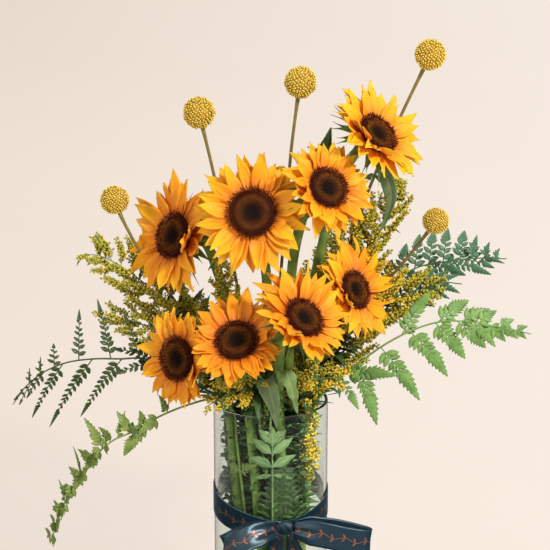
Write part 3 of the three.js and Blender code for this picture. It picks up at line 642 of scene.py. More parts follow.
class BOUQUET_OT_vase(Operator):
    """Builds the clear glass cylinder vase with its thick base and rounded rim"""

    bl_idname = "bouquet.vase"
    bl_label = "Glass vase"

    def execute(self, context):
        settings = context.scene.vase_settings
        wall, base, outer, top = settings.wall, settings.base, VASE_RADIUS, VASE_HEIGHT
        inner, axis, sides = outer - wall, 0.5 * MM, 160
        profile = [(axis, 0.0), (outer - 2 * MM, 0.0), (outer - 0.6 * MM, 0.5 * MM), (outer, 2 * MM)]
        profile += [(outer, z) for z in np.linspace(60 * MM, top - wall * 0.6, 5)]
        for turn in np.linspace(0, math.pi, 9):
            profile.append((outer - wall / 2 * (1 - math.cos(turn)), top - wall / 2 * (1 - math.sin(turn))))
        profile += [(inner, z) for z in np.linspace(top - wall * 0.6, base + 5 * MM, 5)]
        profile += [(inner - 1.2 * MM, base + 1.6 * MM), (inner - 4 * MM, base), (axis, base), (axis, 0.0)]
        steps = circle(sides, np.array([1.0, 0, 0]), np.array([0, 1.0, 0]))
        rows = np.array([steps * radius + UP * z for radius, z in profile])
        sketch = Sketch()
        sketch.ring_grid(rows, 0.5)
        sketch.piece("vase_glass", "clear_glass", "vase", glass_material(settings.tint))
        return {"FINISHED"}


# ---------------------------------------------------------------- ribbon and bow

# Loops, each followed from the knot out along the front and back behind, in millimetres from
# the knot, with the way the cloth spreads and how far the loop droops.
LOOPS = {
    "right": dict(
        route=[(9, -4, 0), (22, -9, 0), (38, -12.5, 0), (58, -13.5, -1), (74, -10, -2), (81, -4, -3),
               (79, 1, -3), (66, 4, -3), (46, 4.5, -2), (26, 2.5, -1), (9, 0, 0)],
        hint=(0.04, 0.3, 1.0), droop=10,
    ),
    "left": dict(
        route=[(-9, -5, 1), (-20, -17, 4), (-36, -25, 3), (-50, -24, -2), (-58, -16, -7), (-57, -8, -9),
               (-46, -5, -6), (-30, -5, -2), (-9, -1.5, 0)],
        hint=(0.1, 0.62, 0.78), droop=14,
    ),
}
# Tails: where each leaves the knot, how far it swings by each third of its drop, and the slant of
# its cut, in millimetres.
TAILS = {
    "left": dict(shift=-5, swing=(-13, -27, -42), slant=7),
    "right": dict(shift=5, swing=(9, 17, 25), slant=-7),
}
LOOP_REACH = 80 * MM


class BOUQUET_OT_ribbon(Operator):
    """Ties the satin ribbon round the vase: band, knot, two loops and two tails"""

    bl_idname = "bouquet.ribbon"
    bl_label = "Satin bow"

    def strip(self, names, material, path, hint, full, ripples, slant=0.0):
        """Makes one cloth: `full` is its share of the full width along it, and gathers show as ripples.

        Returns the piece and its length.
        """
        settings = bpy.context.scene.ribbon_settings
        half = settings.width / 2
        s = np.linspace(-1, 1, 13)
        lifts = np.array([amount * np.cos(s * 7.5 + i * 0.05) for i, amount in enumerate(ripples)])
        rows = along_curve(path, np.array(hint), (half * full)[:, None] * s, lifts)
        end = np.clip((np.linspace(0, 1, len(path)) - 0.7) / 0.3, 0, 1)
        rows += (end[:, None] * s * slant * MM)[..., None] * unit(path[-1] - path[-2])
        run = run_along(path)
        sketch = Sketch()
        sketch.grid(rows, np.tile(s * half / MM, len(rows)), np.repeat(run / MM, len(s)), 0.5)
        piece = sketch.piece(names[0], "ribbon_satin", names[1], material, settings.cloth)
        return piece, round(float(run[-1]), 3)

    def execute(self, context):
        satin = satin_material(context.scene.ribbon_settings.print)
        low, high = limits("bow_knot")
        size = (high - low) / 2
        knot = low + size
        knot[1] = low[1] + size[1] * 1.1
        # Band: gathered narrow at the knot and full width round the back.
        bend = np.linspace(0, math.tau, 181)
        turn = math.atan2(knot[1], knot[0]) + bend
        near = np.maximum(0, np.cos(bend)) ** 6
        radius = VASE_RADIUS + 0.75 * MM + near * 0.35 * MM
        height = knot[2] + 8 * MM * (1 - np.cos(bend))
        path = np.stack([radius * np.cos(turn), radius * np.sin(turn), height], 1)
        names, ripples = ("satin_band", "ribbon_band"), near * 0.5 * MM
        band_piece, _ = self.strip(names, satin, path, UP, 1 - 0.55 * near, ripples)
        # Knot: the ribbon wrapped once over itself, crossed by soft pleats.
        centre = Sketch()
        v, u = globe(25, 48, 0.03)
        pleats = 1 + 0.09 * np.cos(u * 7 + 2 * np.sin(v * 2)) * np.sin(v) - 0.16 * np.cos(v) ** 2
        rows = np.stack(
            [
                knot[0] + size[0] * 0.96 * np.sin(v) ** 0.7 * np.cos(u) * pleats,
                low[1] + size[1] + size[1] * 0.9 * np.sin(v) ** 0.8 * np.sin(u) * pleats,
                knot[2] + size[2] * 0.95 * np.cos(v) * (1 - 0.12 * np.cos(u) ** 2),
            ],
            -1,
        )
        centre.grid(rows, np.ravel(u) * 3 + 6, np.ravel(v) * 8, 0.5, ring=True)
        knot_piece = centre.piece("satin_knot", "ribbon_satin", "bow_knot", satin)
        for side, plan in LOOPS.items():
            drooping = [(x, y, z - plan["droop"] * (x * MM / LOOP_REACH) ** 2) for x, y, z in plan["route"]]
            path = smooth_path([knot + np.array(p) * MM for p in drooping], 90)
            far = np.abs(path[:, 0] - knot[0]) / LOOP_REACH
            names = (f"satin_loop_{side}", f"bow_loop_{side}")
            full, ripples = np.clip(0.34 + far * 2.1, 0.34, 0.97), 1.1 * MM * np.clip(1 - far * 2.2, 0, 1)
            piece, run = self.strip(names, satin, path, plan["hint"], full, ripples)
        # Tails, hanging in slow waves with a slanting cut.
        for side, plan in TAILS.items():
            top = knot[2] - size[2] * 0.7
            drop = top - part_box(f"bow_tail_{side}")[0][2] - 6 * MM
            points = [
                (knot[0] + (plan["shift"] + swing) * MM, knot[1] - out * MM, top - drop * down)
                for swing, out, down in zip((0, *plan["swing"]), (3, 6, 1, 5), (0, 0.33, 0.66, 1))
            ]
            path = smooth_path(points, 60)
            share = np.linspace(0, 1, 60)
            ripples = MM * (1.2 * np.clip(1 - share * 2.2, 0, 1) + 0.5 * share * np.sin(share * 9))
            names, full = (f"satin_tail_{side}", f"bow_tail_{side}"), np.clip(0.3 + share * 2.6, 0.3, 0.97)
            piece, run = self.strip(names, satin, path, (1.0, -0.15, 0.1), full, ripples, plan["slant"])
        return {"FINISHED"}


# ---------------------------------------------------------------- sunflowers

PETAL_OUTLINE = np.array([0.42, 0.66, 0.85, 0.96, 1.0, 0.96, 0.86, 0.7, 0.49, 0.26, 0.03])
BRACT_OUTLINE = np.array([0.9, 1.0, 0.9, 0.68, 0.42, 0.2, 0.1, 0.05, 0.02])
LEAF_OUTLINE = np.array([0.12, 0.5, 0.85, 1.0, 0.95, 0.78, 0.55, 0.28, 0.02])
USUAL_REACH = 55 * MM  # from a flower's centre to its petal tips
STEM_RADIUS = 4.75 * MM

# Per flower: slope of the front and back petals in degrees; the sides where petals fold up, as
# (turn in degrees seen from the front with 0 to the right, how much, how wide); the sides where
# they are long, as (turn, how much); how far its petals turn to a deeper orange, which is painted
# shade, most on the low flowers that lie in the shade of the others; and how much larger its petals grow.
HEADS = {
    "sunflower_top_right": dict(front=27, back=15, fold=[(215, 26, 40), (165, 24, 25)], long=[(20, 0.14)]),
    "sunflower_upper_right": dict(
        front=18, back=6, fold=[(185, 36, 36), (75, 25, 40)], long=[(290, 0.1)], painted_shade=0.45
    ),
    "sunflower_centre": dict(front=8, back=0, fold=[(15, 45, 16)], long=[(250, 0.1), (80, 0.06)], painted_shade=0.38),
    "sunflower_upper_left": dict(
        front=8, back=0, fold=[(352, 58, 30)], long=[(180, 0.4)], painted_shade=0.5, grow=1.14
    ),
    "sunflower_low_left": dict(
        front=8, back=0, fold=[(345, 60, 26)], long=[(185, 0.45), (355, 0.4)], painted_shade=0.6, grow=1.1
    ),
    "sunflower_low_centre": dict(front=14, back=8, fold=[(15, 45, 18)], long=[(90, 0.42)], painted_shade=0.95),
    "sunflower_low_right": dict(
        front=20, back=10, fold=[(215, 26, 30), (60, 18, 40)], long=[(70, 0.4)], painted_shade=0.55
    ),
    "sunflower_right": dict(front=14, back=4, fold=[(180, 24, 30)], long=[(0, 0.6)], painted_shade=0.35, grow=1.15),
}


class BOUQUET_OT_sunflowers(Operator):
    """Builds the eight sunflowers: petals, disc of florets, and stem with its cup and bracts"""

    bl_idname = "bouquet.sunflowers"
    bl_label = "Sunflowers"

    def petals(self, name, head, look, settings, material, chance):
        sketch = Sketch()
        grow = look.get("grow", 1.0)
        full = (head.reach - head.disc) * grow
        half = PETAL_OUTLINE * settings.width / 2 * (head.reach / USUAL_REACH) ** 0.5 * grow
        for layer, count in enumerate((settings.outer, settings.inner)):
            for i in range(count):
                turn = math.tau * (i + 0.5 * layer + chance.uniform(-0.36, 0.36)) / count
                degrees = math.degrees(turn) % 360
                length = full * (0.98 - 0.08 * layer) * chance.uniform(0.8, 1.03)
                for side, more in look["long"]:
                    length *= 1 + more * max(0, math.cos(math.radians(degrees - side)))
                slope = look["front"] if layer else look["back"]
                fold = 0
                for side, much, wide in look["fold"]:
                    off = (degrees - side + 180) % 360 - 180
                    folded = math.exp(-((off / wide) ** 2)) * (1 if layer else 0.55)
                    fold += much * folded * chance.uniform(0.7, 1.1)
                points, across, along = blade(
                    rise=math.radians(slope + fold * 0.55 + chance.uniform(-7, 7)),
                    curl=math.radians(fold * 0.9 + chance.uniform(-44, 26) - slope * 0.5),
                    size=length + 3 * MM,
                    half_widths=half * chance.uniform(0.8, 1.12),
                    twist=chance.uniform(-0.7, 0.7),
                    keel=chance.uniform(0.0, 0.55),
                    pleat=0.075,
                    ripple=chance.uniform(0.3, 1.5) * MM,
                    phase=chance.uniform(0, 6),
                    rows=13,
                    columns=9,
                )
                points[..., 1] += chance.uniform(-0.24, 0.24) * points[..., 0] ** 2 / (50 * MM)
                out = head.right * math.cos(turn) + head.up * math.sin(turn)
                base = head.centre + out * (head.disc - 3 * MM) + head.facing * (0.4 + layer * 1.1) * MM
                placed = carried(points, base, out, np.cross(head.facing, out), head.facing)
                # Share of deeper orange: the flower's painted shade, a random tone for each petal, and a
                # little more on the back layer.
                tint = look.get("painted_shade", 0.0) + chance.uniform(-0.3, 0.3) + (0 if layer else 0.15)
                sketch.grid(placed, across, along, min(1.0, max(0.0, tint)))
        sketch.piece(f"{name}_ray_petals", "sunflower_petal", name + "_petals", material, THIN["petal"])

    def disc(self, name, head, count, material, chance):
        """A low dome with a dip in its middle, covered in florets that stand tallest near the rim."""
        dome = lambda share, drop: 0.14 * np.sin(share * math.pi * 0.62) - drop * np.clip(share - 0.86, 0, 1)
        sketch = Sketch()
        share = np.linspace(0.01, 1, 12)
        ring = head.disc * circle(40, head.right, head.up)
        height = head.disc * (0.16 + dome(share, 0.784))
        rows = [head.centre + 0.95 * f * ring + h * head.facing for f, h in zip(share, height)]
        rows.append(head.centre + 0.9 * ring)
        sketch.grid(np.array(rows), 0, np.repeat(np.append(share, 1), 40), 0.2, ring=True)
        i = np.arange(count)
        r = np.sqrt((i + 0.5) / count)
        jitter = np.array([chance.random() for _ in i])
        out = np.cos(i * GOLDEN)[:, None] * head.right + np.sin(i * GOLDEN)[:, None] * head.up
        lift = head.disc * (0.15 + dome(r, 0.42))
        origins = head.centre + out * (head.disc * r * 0.98)[:, None] + head.facing * lift[:, None]
        towards = head.facing + out * (0.15 + 0.9 * r**4)[:, None]
        fringe, opening = r > 0.76, r > 0.4
        tall = np.where(fringe, 4.6, np.where(opening, 2.6, 1.3)) * MM * (0.55 + 0.75 * jitter)
        wide = head.disc * math.sqrt(math.pi / count) * np.where(fringe, 0.8, 0.78)
        sketch.scatter(BUD, BUD_FACES, origins, towards, wide, tall, r, jitter)
        sketch.piece(f"{name}_floret_disc", "sunflower_disc", name + "_disc", material)

    def stem(self, name, head, material):
        limit = min(head.centre[2] - 42 * MM, head.behind(40 * MM)[2] - 6 * MM)
        run = run_of(name + "_stem", np.linspace(12.5 * MM, limit, 16))
        run[0][2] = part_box(name + "_stem")[0][2] + 0.2 * MM
        path = smooth_path(run + [head.behind(depth * MM) for depth in (35, 20, 9)], 70)
        sketch = Sketch()
        sketch.tube(path, STEM_RADIUS * (1 + 0.03 * np.sin(np.linspace(0, 1, 70) * 23)), 18, 0.5, flutes=0.03)
        # The cup behind the disc, as (radius, depth in millimetres) from its edge to the stem.
        cup = [(head.disc + 2.5 * MM, 0.2), (head.disc + 2.6 * MM, 2), (head.disc * 0.96, 5)]
        cup += [(head.disc * 0.7, 9), (head.disc * 0.42, 12.5), (STEM_RADIUS + 0.15 * MM, 18)]
        rows = [head.behind(depth * MM) + r * circle(36, head.right, head.up) for r, depth in cup]
        rows.insert(0, rows[0] * 0.1 + head.centre * 0.9)
        sketch.grid(np.array(rows), 0.5, np.repeat(np.linspace(0, 1, len(rows)), 36), 0.6, ring=True)
        sketch.piece(f"{name}_green_stem", "flower_stem", name + "_stem", material)

    def bracts(self, name, head, material, chance):
        sketch = Sketch()
        for layer, count in enumerate((13, 12)):
            for i in range(count):
                turn = math.tau * (i + 0.5 * layer + chance.uniform(-0.2, 0.2)) / count
                points, across, along = blade(
                    (head.reach - head.disc) * chance.uniform(0.62, 0.92),
                    BRACT_OUTLINE * chance.uniform(3.4, 4.6) * MM,
                    math.radians(chance.uniform(-34, -14)),
                    math.radians(chance.uniform(-30, 34)),
                    twist=chance.uniform(-0.5, 0.5),
                    keel=-0.3,
                    rows=10,
                    columns=5,
                )
                out = head.right * math.cos(turn) + head.up * math.sin(turn)
                base = head.behind((1.6 + 2.4 * layer) * MM) + out * (head.disc - 1 * MM)
                placed = carried(points, base, out, np.cross(head.facing, out), head.facing)
                sketch.grid(placed, across, along, chance.random())
        sketch.piece(f"{name}_bracts", "flower_stem", name + "_stem", material, THIN["bract"])

    def execute(self, context):
        settings = context.scene.sunflower_settings
        petal, disc, stem = petal_material(), disc_material(), stem_material()
        bract = leaf_material("Sunflower bract", "#3f5f2a", "#67863c", "#8fa558", 0.5)
        for number, (name, look) in enumerate(HEADS.items()):
            chance, head = random.Random(SEEDS["sunflower"] + number), Head(name)
            self.petals(name, head, look, settings, petal, chance)
            self.disc(name, head, settings.florets, disc, chance)
            self.stem(name, head, stem)
            self.bracts(name, head, bract, chance)
        return {"FINISHED"}


# ---------------------------------------------------------------- craspedia


class BOUQUET_OT_craspedia(Operator):
    """Builds the five craspedia balls on their thin bare stems"""

    bl_idname = "bouquet.craspedia"
    bl_label = "Craspedia"

    def ball(self, name, centre, radius, count, material):
        """A core set with floret heads, spread evenly by the golden angle and then shaken a little."""
        chance = random.Random(name)
        sketch = Sketch()
        v, u = globe(17, 28, 0.02)
        inner = radius * 0.9
        rows = np.stack([np.sin(v) * np.cos(u), np.sin(v) * np.sin(u), np.cos(v)], -1) * inner + centre
        # The core takes the dark low end of the floret colours: painted shade in the gaps between the heads.
        sketch.grid(rows, 0.1, 0.5, 0.5, ring=True)
        i = np.arange(count) + 0.5
        z = 1 - 2 * i / count
        ring = np.sqrt(1 - z * z)
        out = np.stack([ring * np.cos(i * GOLDEN), ring * np.sin(i * GOLDEN), z], 1)
        jitter = np.array([chance.random() for _ in i])
        out = out + np.array([[chance.uniform(-1, 1) for _ in range(3)] for _ in i]) * 0.035
        wide = np.full(count, inner * math.sqrt(4 * math.pi / count) * 0.9)
        tall = radius * (0.09 + 0.09 * jitter)
        sketch.scatter(KNOB, KNOB_FACES, centre + out * inner * 0.985, out, wide, tall, z * 0.5 + 0.5, jitter)
        sketch.piece(f"craspedia_{name}_ball", "craspedia_ball", f"craspedia_{name}_head", material)

    def execute(self, context):
        yellow = ball_material()
        bark = twig_material("Craspedia stalk", "#6f5c33", "#8f8246")
        for name in ("far_left", "left", "middle", "top_right", "right"):
            low, high = limits(f"craspedia_{name}_head")
            centre, radius = (low + high) / 2, (high - low).min() / 2
            self.ball(name, centre, radius, context.scene.craspedia_settings.florets, yellow)
            stem = f"craspedia_{name}_stem"
            foot, top = (corner[2] for corner in limits(stem))
            run = run_of(stem, np.linspace(foot + 0.6 * MM, min(top, low[2]) - 2 * MM, 22), 14 * MM)
            neck = run[-1] + unit(centre - run[-1]) * (np.linalg.norm(centre - run[-1]) - radius * 0.93)
            stalk = Sketch()
            flare = np.clip((np.linspace(0, 1, 80) - 0.97) / 0.03, 0, 1)
            stalk.tube(smooth_path(run + [neck], 80), 1.5 * MM * (1 + 0.45 * flare), 10, 0.5, flutes=0.04)
            stalk.piece(f"craspedia_{name}_stalk", "craspedia_stem", stem, bark)
        return {"FINISHED"}


# ---------------------------------------------------------------- fern, goldenrod and leaves

STATIONS = 160  # points along the path of a frond or spray
UP_AND_BACK = np.array([0.0, 0.29, 0.96])
FORWARD = unit([0.0, -1.0, 0.35])  # the way the leaflets face
PINNULE_OUTLINE = np.array([0.3, 0.8, 1.0, 0.92, 0.6, 0.05])
USUAL_CUT = 0.52

# Each frond's route above the rim in millimetres, as laid out in the frame; its tone; how far its
# leaflets turn about their ribs, in radians; how many pairs grow low down in the vase; the share
# of a leaflet cut into free lobes; and its leaflets, as (how far right on the frond, tip, width).
FRONDS = {
    "fern_right_long": dict(
        route=[(59, -25, 22), (84, -32, 47), (107, -36, 66), (133, -38, 81), (158, -38, 89), (186, -38, 89),
               (214, -36, 83), (244, -32, 75)],
        tone="fresh", turn=0.0, low=2,
        leaflets=[(66, (83, -44, 4), 0.6), (70, (117, -50, 40), 0.9), (82, (100, -48, -10), 1.0),
                  (104, (140, -46, 14), 1.0), (130, (166, -44, 37), 1.0), (154, (182, -42, 54), 1.0),
                  (174, (201, -40, 64), 1.0), (190, (210, -40, 65), 0.9), (203, (220, -36, 69), 0.8),
                  (216, (232, -34, 71), 0.6), (229, (240, -32, 70), 0.4), (122, (150, -26, 115), 0.9),
                  (155, (185, -28, 107), 1.0), (178, (205, -30, 99), 0.9), (194, (211, -32, 98), 0.8),
                  (214, (228, -30, 89), 0.6), (228, (241, -30, 82), 0.4)],
    ),
    "fern_right_back": dict(
        route=[(72, 40, 55), (111, 50, 93), (140, 52, 114), (169, 52, 121), (198, 50, 125), (228, 48, 125)],
        tone="blue", turn=0.35, cut=0.62,
        leaflets=[(112, (118, 56, 122), 0.9), (126, (132, 60, 137), 0.9), (140, (145, 62, 146), 0.9),
                  (154, (159, 62, 150), 0.9), (168, (172, 62, 152), 0.9), (183, (188, 60, 150), 0.9),
                  (196, (200, 58, 146), 0.8), (207, (212, 55, 140), 0.6), (217, (222, 54, 134), 0.4),
                  (128, (160, 36, 98), 0.9), (149, (188, 36, 112), 0.9), (165, (213, 38, 112), 0.8),
                  (185, (216, 40, 118), 0.6), (203, (226, 42, 122), 0.5)],
    ),
    "fern_right_mid": dict(
        route=[(72, 25, 40), (110, 30, 79), (139, 32, 98), (163, 32, 106), (184, 30, 105)],
        tone="blue", turn=0.2,
        leaflets=[(104, (128, 38, 108), 0.8), (118, (146, 40, 116), 0.8), (132, (160, 40, 118), 0.7),
                  (146, (172, 38, 116), 0.6), (160, (182, 34, 113), 0.5), (112, (140, 22, 74), 0.8),
                  (128, (158, 24, 84), 0.8), (144, (172, 24, 92), 0.7), (158, (182, 26, 97), 0.6)],
    ),
    "fern_left_upper": dict(
        route=[(-68, -4, 13), (-96, -11, 36), (-121, -18, 46), (-142, -25, 48), (-167, -31, 50),
               (-193, -34, 47), (-215, -38, 38), (-228, -42, 28), (-241, -45, 14)],
        tone="dark", turn=0.6, low=9, cut=0.8,
        leaflets=[(-104, (-148, -30, 34), 0.84), (-108, (-152, 0, 50), 0.76), (-124, (-140, 2, 86), 0.68),
                  (-150, (-164, -2, 100), 0.76), (-180, (-181, -6, 91), 0.68), (-203, (-205, -18, 61), 0.61),
                  (-216, (-217, -24, 50), 0.46), (-226, (-227, -30, 41), 0.38), (-140, (-179, -44, -3), 0.76),
                  (-168, (-208, -48, -12), 0.76), (-194, (-224, -50, -2), 0.68),
                  (-212, (-229, -46, 16), 0.61), (-222, (-236, -48, 10), 0.46),
                  (-231, (-242, -48, 10), 0.38)],
    ),
    "fern_left_lower": dict(
        route=[(-54, -38, 12), (-76, -46, 10), (-104, -54, 1), (-127, -60, -11), (-148, -66, -19),
               (-164, -70, -33), (-178, -72, -53), (-193, -74, -78), (-208, -76, -118)],
        tone="olive", turn=0.7, low=9,
        leaflets=[(-96, (-104, -58, 24), 0.6), (-104, (-124, -66, -14), 0.8), (-116, (-137, -68, -33), 1.0),
                  (-118, (-122, -62, 10), 0.6), (-130, (-144, -54, 6), 0.8), (-142, (-136, -52, 6), 0.5),
                  (-149, (-161, -58, -8), 0.7), (-156, (-174, -60, 2), 0.8), (-158, (-166, -74, -33), 0.7),
                  (-163, (-173, -76, -45), 0.8), (-168, (-180, -66, -27), 0.7), (-174, (-185, -78, -66), 0.9),
                  (-178, (-189, -68, -44), 0.6), (-184, (-191, -80, -74), 0.8), (-187, (-198, -70, -64), 0.7),
                  (-193, (-200, -78, -92), 0.8), (-197, (-205, -72, -82), 0.6),
                  (-201, (-205, -80, -104), 0.6)],
    ),
}


class BOUQUET_OT_ferns(Operator):
    """Builds the fern fronds: each leaflet has free lobes by the stalk and a toothed tip"""

    bl_idname = "bouquet.ferns"
    bl_label = "Fern fronds"

    def leaflet(self, sketch, foot, tip, facing, width, chance, cut=USUAL_CUT):
        """Free lobes on the lower `cut` of a thin rib, then a toothed blade tapering to the tip."""
        length = np.linalg.norm(tip - foot)
        towards = (tip - foot) / length
        facing = unit(facing - towards * np.dot(facing, towards))
        path = smooth_path([foot, (foot + tip) / 2 + UP * length * 0.05, tip], 40)
        sketch.tube(path[:34], np.linspace(0.5, 0.2, 34) * MM, 5, 0.8)
        pairs = int(max(2, length * cut / (5.8 * MM)))
        for i in range(pairs):
            share = 0.12 + (cut - 0.1) * i / pairs
            grown = width * (1 - 0.9 * (share - 0.12)) * MM
            for side in (-1, 1):
                aim = unit(np.cross(facing, towards) * side + towards * (0.45 + 0.8 * share))
                half = PINNULE_OUTLINE * 3.1 * grown
                rise, curl = math.radians(chance.uniform(-6, 16)), math.radians(chance.uniform(-36, -4))
                points, u, v = blade(12.5 * grown, half, rise, curl, 8, 5, keel=-0.2)
                at = path[int(share * 39)] + towards * (1.6 * MM if side > 0 else 0)
                placed = carried(points, at, aim, np.cross(facing, aim), facing)
                sketch.grid(inside_glass(placed), u, v, chance.random())
        # The toothed tip: a blade whose edge steps in and out like joined lobes.
        start = int((cut - 0.02) * 39) if pairs > 2 else 8
        steps = np.linspace(0, 1, 31)
        at = np.stack([np.interp(steps, np.linspace(0, 1, 40 - start), path[start:, k]) for k in range(3)], 1)
        teeth = 0.62 + 0.5 * np.abs(((steps * 6.0) % 1.0) - 0.15)
        narrow = min(1, (1 - cut) / (1 - USUAL_CUT))
        half = (9.5 * MM * width * narrow * (1 - steps) ** 0.8 * teeth + 0.1 * MM)[:, None, None]
        s = np.array([-1.0, -0.55, 0.0, 0.55, 1.0])
        spread = s[None, :, None] * np.cross(facing, towards)
        sweep = 0.55 * (np.abs(s) ** 1.3)[None, :, None] * towards - 0.18 * np.abs(s)[None, :, None] * facing
        rows = at[:, None] + half * (spread + sweep)
        sketch.grid(inside_glass(rows), np.tile(s * 0.5 + 0.5, 31), np.repeat(steps, 5), chance.random())

    def frond(self, name, plan, material, chance):
        path = rooted_path(name, plan["route"], STATIONS)
        sketch = Sketch()
        sketch.tube(path, np.linspace(1.25, 0.4, STATIONS) * MM, 8, 0.9)
        for x, tip, width in plan["leaflets"]:
            foot = path[int(np.argmin(np.abs(path[40:, 0] - x * MM))) + 40]
            towards = unit(spot(*tip) - foot)
            turn = plan["turn"] * chance.uniform(0.7, 1.2) * (1 if tip[2] > foot[2] else -1)
            normal = unit(FORWARD * math.cos(turn) + np.cross(towards, FORWARD) * math.sin(turn))
            self.leaflet(sketch, foot, spot(*tip), normal, width, chance, plan.get("cut", USUAL_CUT))
        for i in range(plan.get("low", 0)):
            foot = path[int(np.argmin(np.abs(path[:, 2] - (VASE_HEIGHT - (12 + 13 * i) * MM))))]
            out = unit(foot * [1, 1, 0])
            for side in (-1, 1):
                reach = chance.uniform(15, 24) * MM
                tip = foot + np.cross(UP, out) * side * reach + UP * reach * chance.uniform(0.2, 0.9)
                self.leaflet(sketch, foot, tip, out, 0.6, chance)
        sketch.piece(f"{name}_frond", "fern_leaf", name, material, THIN["fern"])

    def pressed_frond(self, material, chance):
        """The frond pressed against the inside of the glass."""
        low, high = limits("fern_in_vase")
        stand, arc = VASE_RADIUS - 6 * MM, 11 * MM
        path = [round_glass(stand, arc, z) for z in np.linspace(low[2] + 1 * MM, high[2] - 10 * MM, 8)]
        path = smooth_path(path, 80)
        sketch = Sketch()
        sketch.tube(path, np.linspace(1.1, 0.5, 80) * MM, 8, 0.9)
        for i in range(9):
            z = high[2] - (72 - 7 * i) * MM
            foot = path[int(np.argmin(np.abs(path[:, 2] - z)))]
            for side in (-1, 1):
                reach = (27 - 1.9 * i) * chance.uniform(0.9, 1.05) * MM
                tip = round_glass(stand, arc + side * reach, z + reach * 0.62)
                self.leaflet(sketch, foot, tip, unit(foot * [1, 1, 0]), 0.72, chance)
        sketch.piece("fern_in_vase_frond", "fern_leaf", "fern_in_vase", material, THIN["fern"])

    def execute(self, context):
        tones = {
            "fresh": leaf_material("Fern leaf, fresh", "#4a7a35", "#7ea657", "#a4c47c"),
            "blue": leaf_material("Fern leaf, blue-green", "#33604a", "#56845f", "#7da17a"),
            "dark": leaf_material("Fern leaf, dark", "#22361c", "#3c5629", "#66794a", 0.36),
            "olive": leaf_material("Fern leaf, olive", "#55702f", "#88a050", "#adbf78"),
        }
        for number, (name, plan) in enumerate(FRONDS.items()):
            self.frond(name, plan, tones[plan["tone"]], random.Random(SEEDS["fern"] + number))
        self.pressed_frond(tones["dark"], random.Random(SEEDS["pressed frond"]))
        return {"FINISHED"}


# Each spray's route above the rim in millimetres; the share of it that carries twigs; how many
# twigs, against the setting; their longest length in millimetres; how shut its buds are; how many
# leaves it has; and which way its twigs lean.
SPRAYS = {
    "goldenrod_left_upper": dict(
        route=[(-77, 32, 63), (-110, 26, 97), (-138, 16, 124), (-161, 6, 140), (-174, -2, 144)],
        leafy=0.52, twigs=1.1, longest=46, shut=0.65, leaves=120,
    ),
    "goldenrod_left_low": dict(
        route=[(-50, -2, 30), (-80, 13, 62), (-112, 16, 66), (-140, 14, 74), (-162, 10, 82)],
        leafy=0.56, twigs=1.1, longest=42, shut=0.6, leaves=170,
    ),
    "goldenrod_centre": dict(
        route=[(-24, -16, 57), (-36, -22, 98), (-45, -24, 127), (-48, -24, 143)],
        leafy=0.7, twigs=1.4, longest=38, shut=0.55, leaves=200,
    ),
    "goldenrod_right_upper": dict(
        route=[(44, 44, 50), (72, 44, 96), (97, 42, 146), (116, 42, 177), (127, 42, 199)],
        leafy=0.82, twigs=2.5, longest=60, shut=0.55, leaves=150, lean=(-0.35, 0.0, 0.2),
    ),
    "goldenrod_right_low": dict(
        route=[(62, 12, 45), (100, 17, 85), (133, 18, 101), (162, 17, 104)],
        leafy=0.58, twigs=1.6, longest=46, shut=0.5, leaves=190,
    ),
    "goldenrod_front_left": dict(
        route=[(-15, -54, 26), (-25, -68, 33), (-42, -78, 30), (-60, -80, 20)],
        leafy=0.42, twigs=0.55, longest=26, shut=0.2, leaves=190,
    ),
    "goldenrod_in_vase": dict(
        route=[(27, -22, 12), (31, -21, 32), (34, -20, 46)],
        leafy=0.58, twigs=1.1, longest=28, shut=0.05, leaves=24, lean=(1.7, -1.1, 0.0),
    ),
    "goldenrod_front_right": dict(
        route=[(34, -52, 26), (44, -62, 40), (56, -66, 44), (70, -68, 40)],
        leafy=0.42, twigs=0.4, longest=26, shut=0.1, leaves=150,
    ),
}


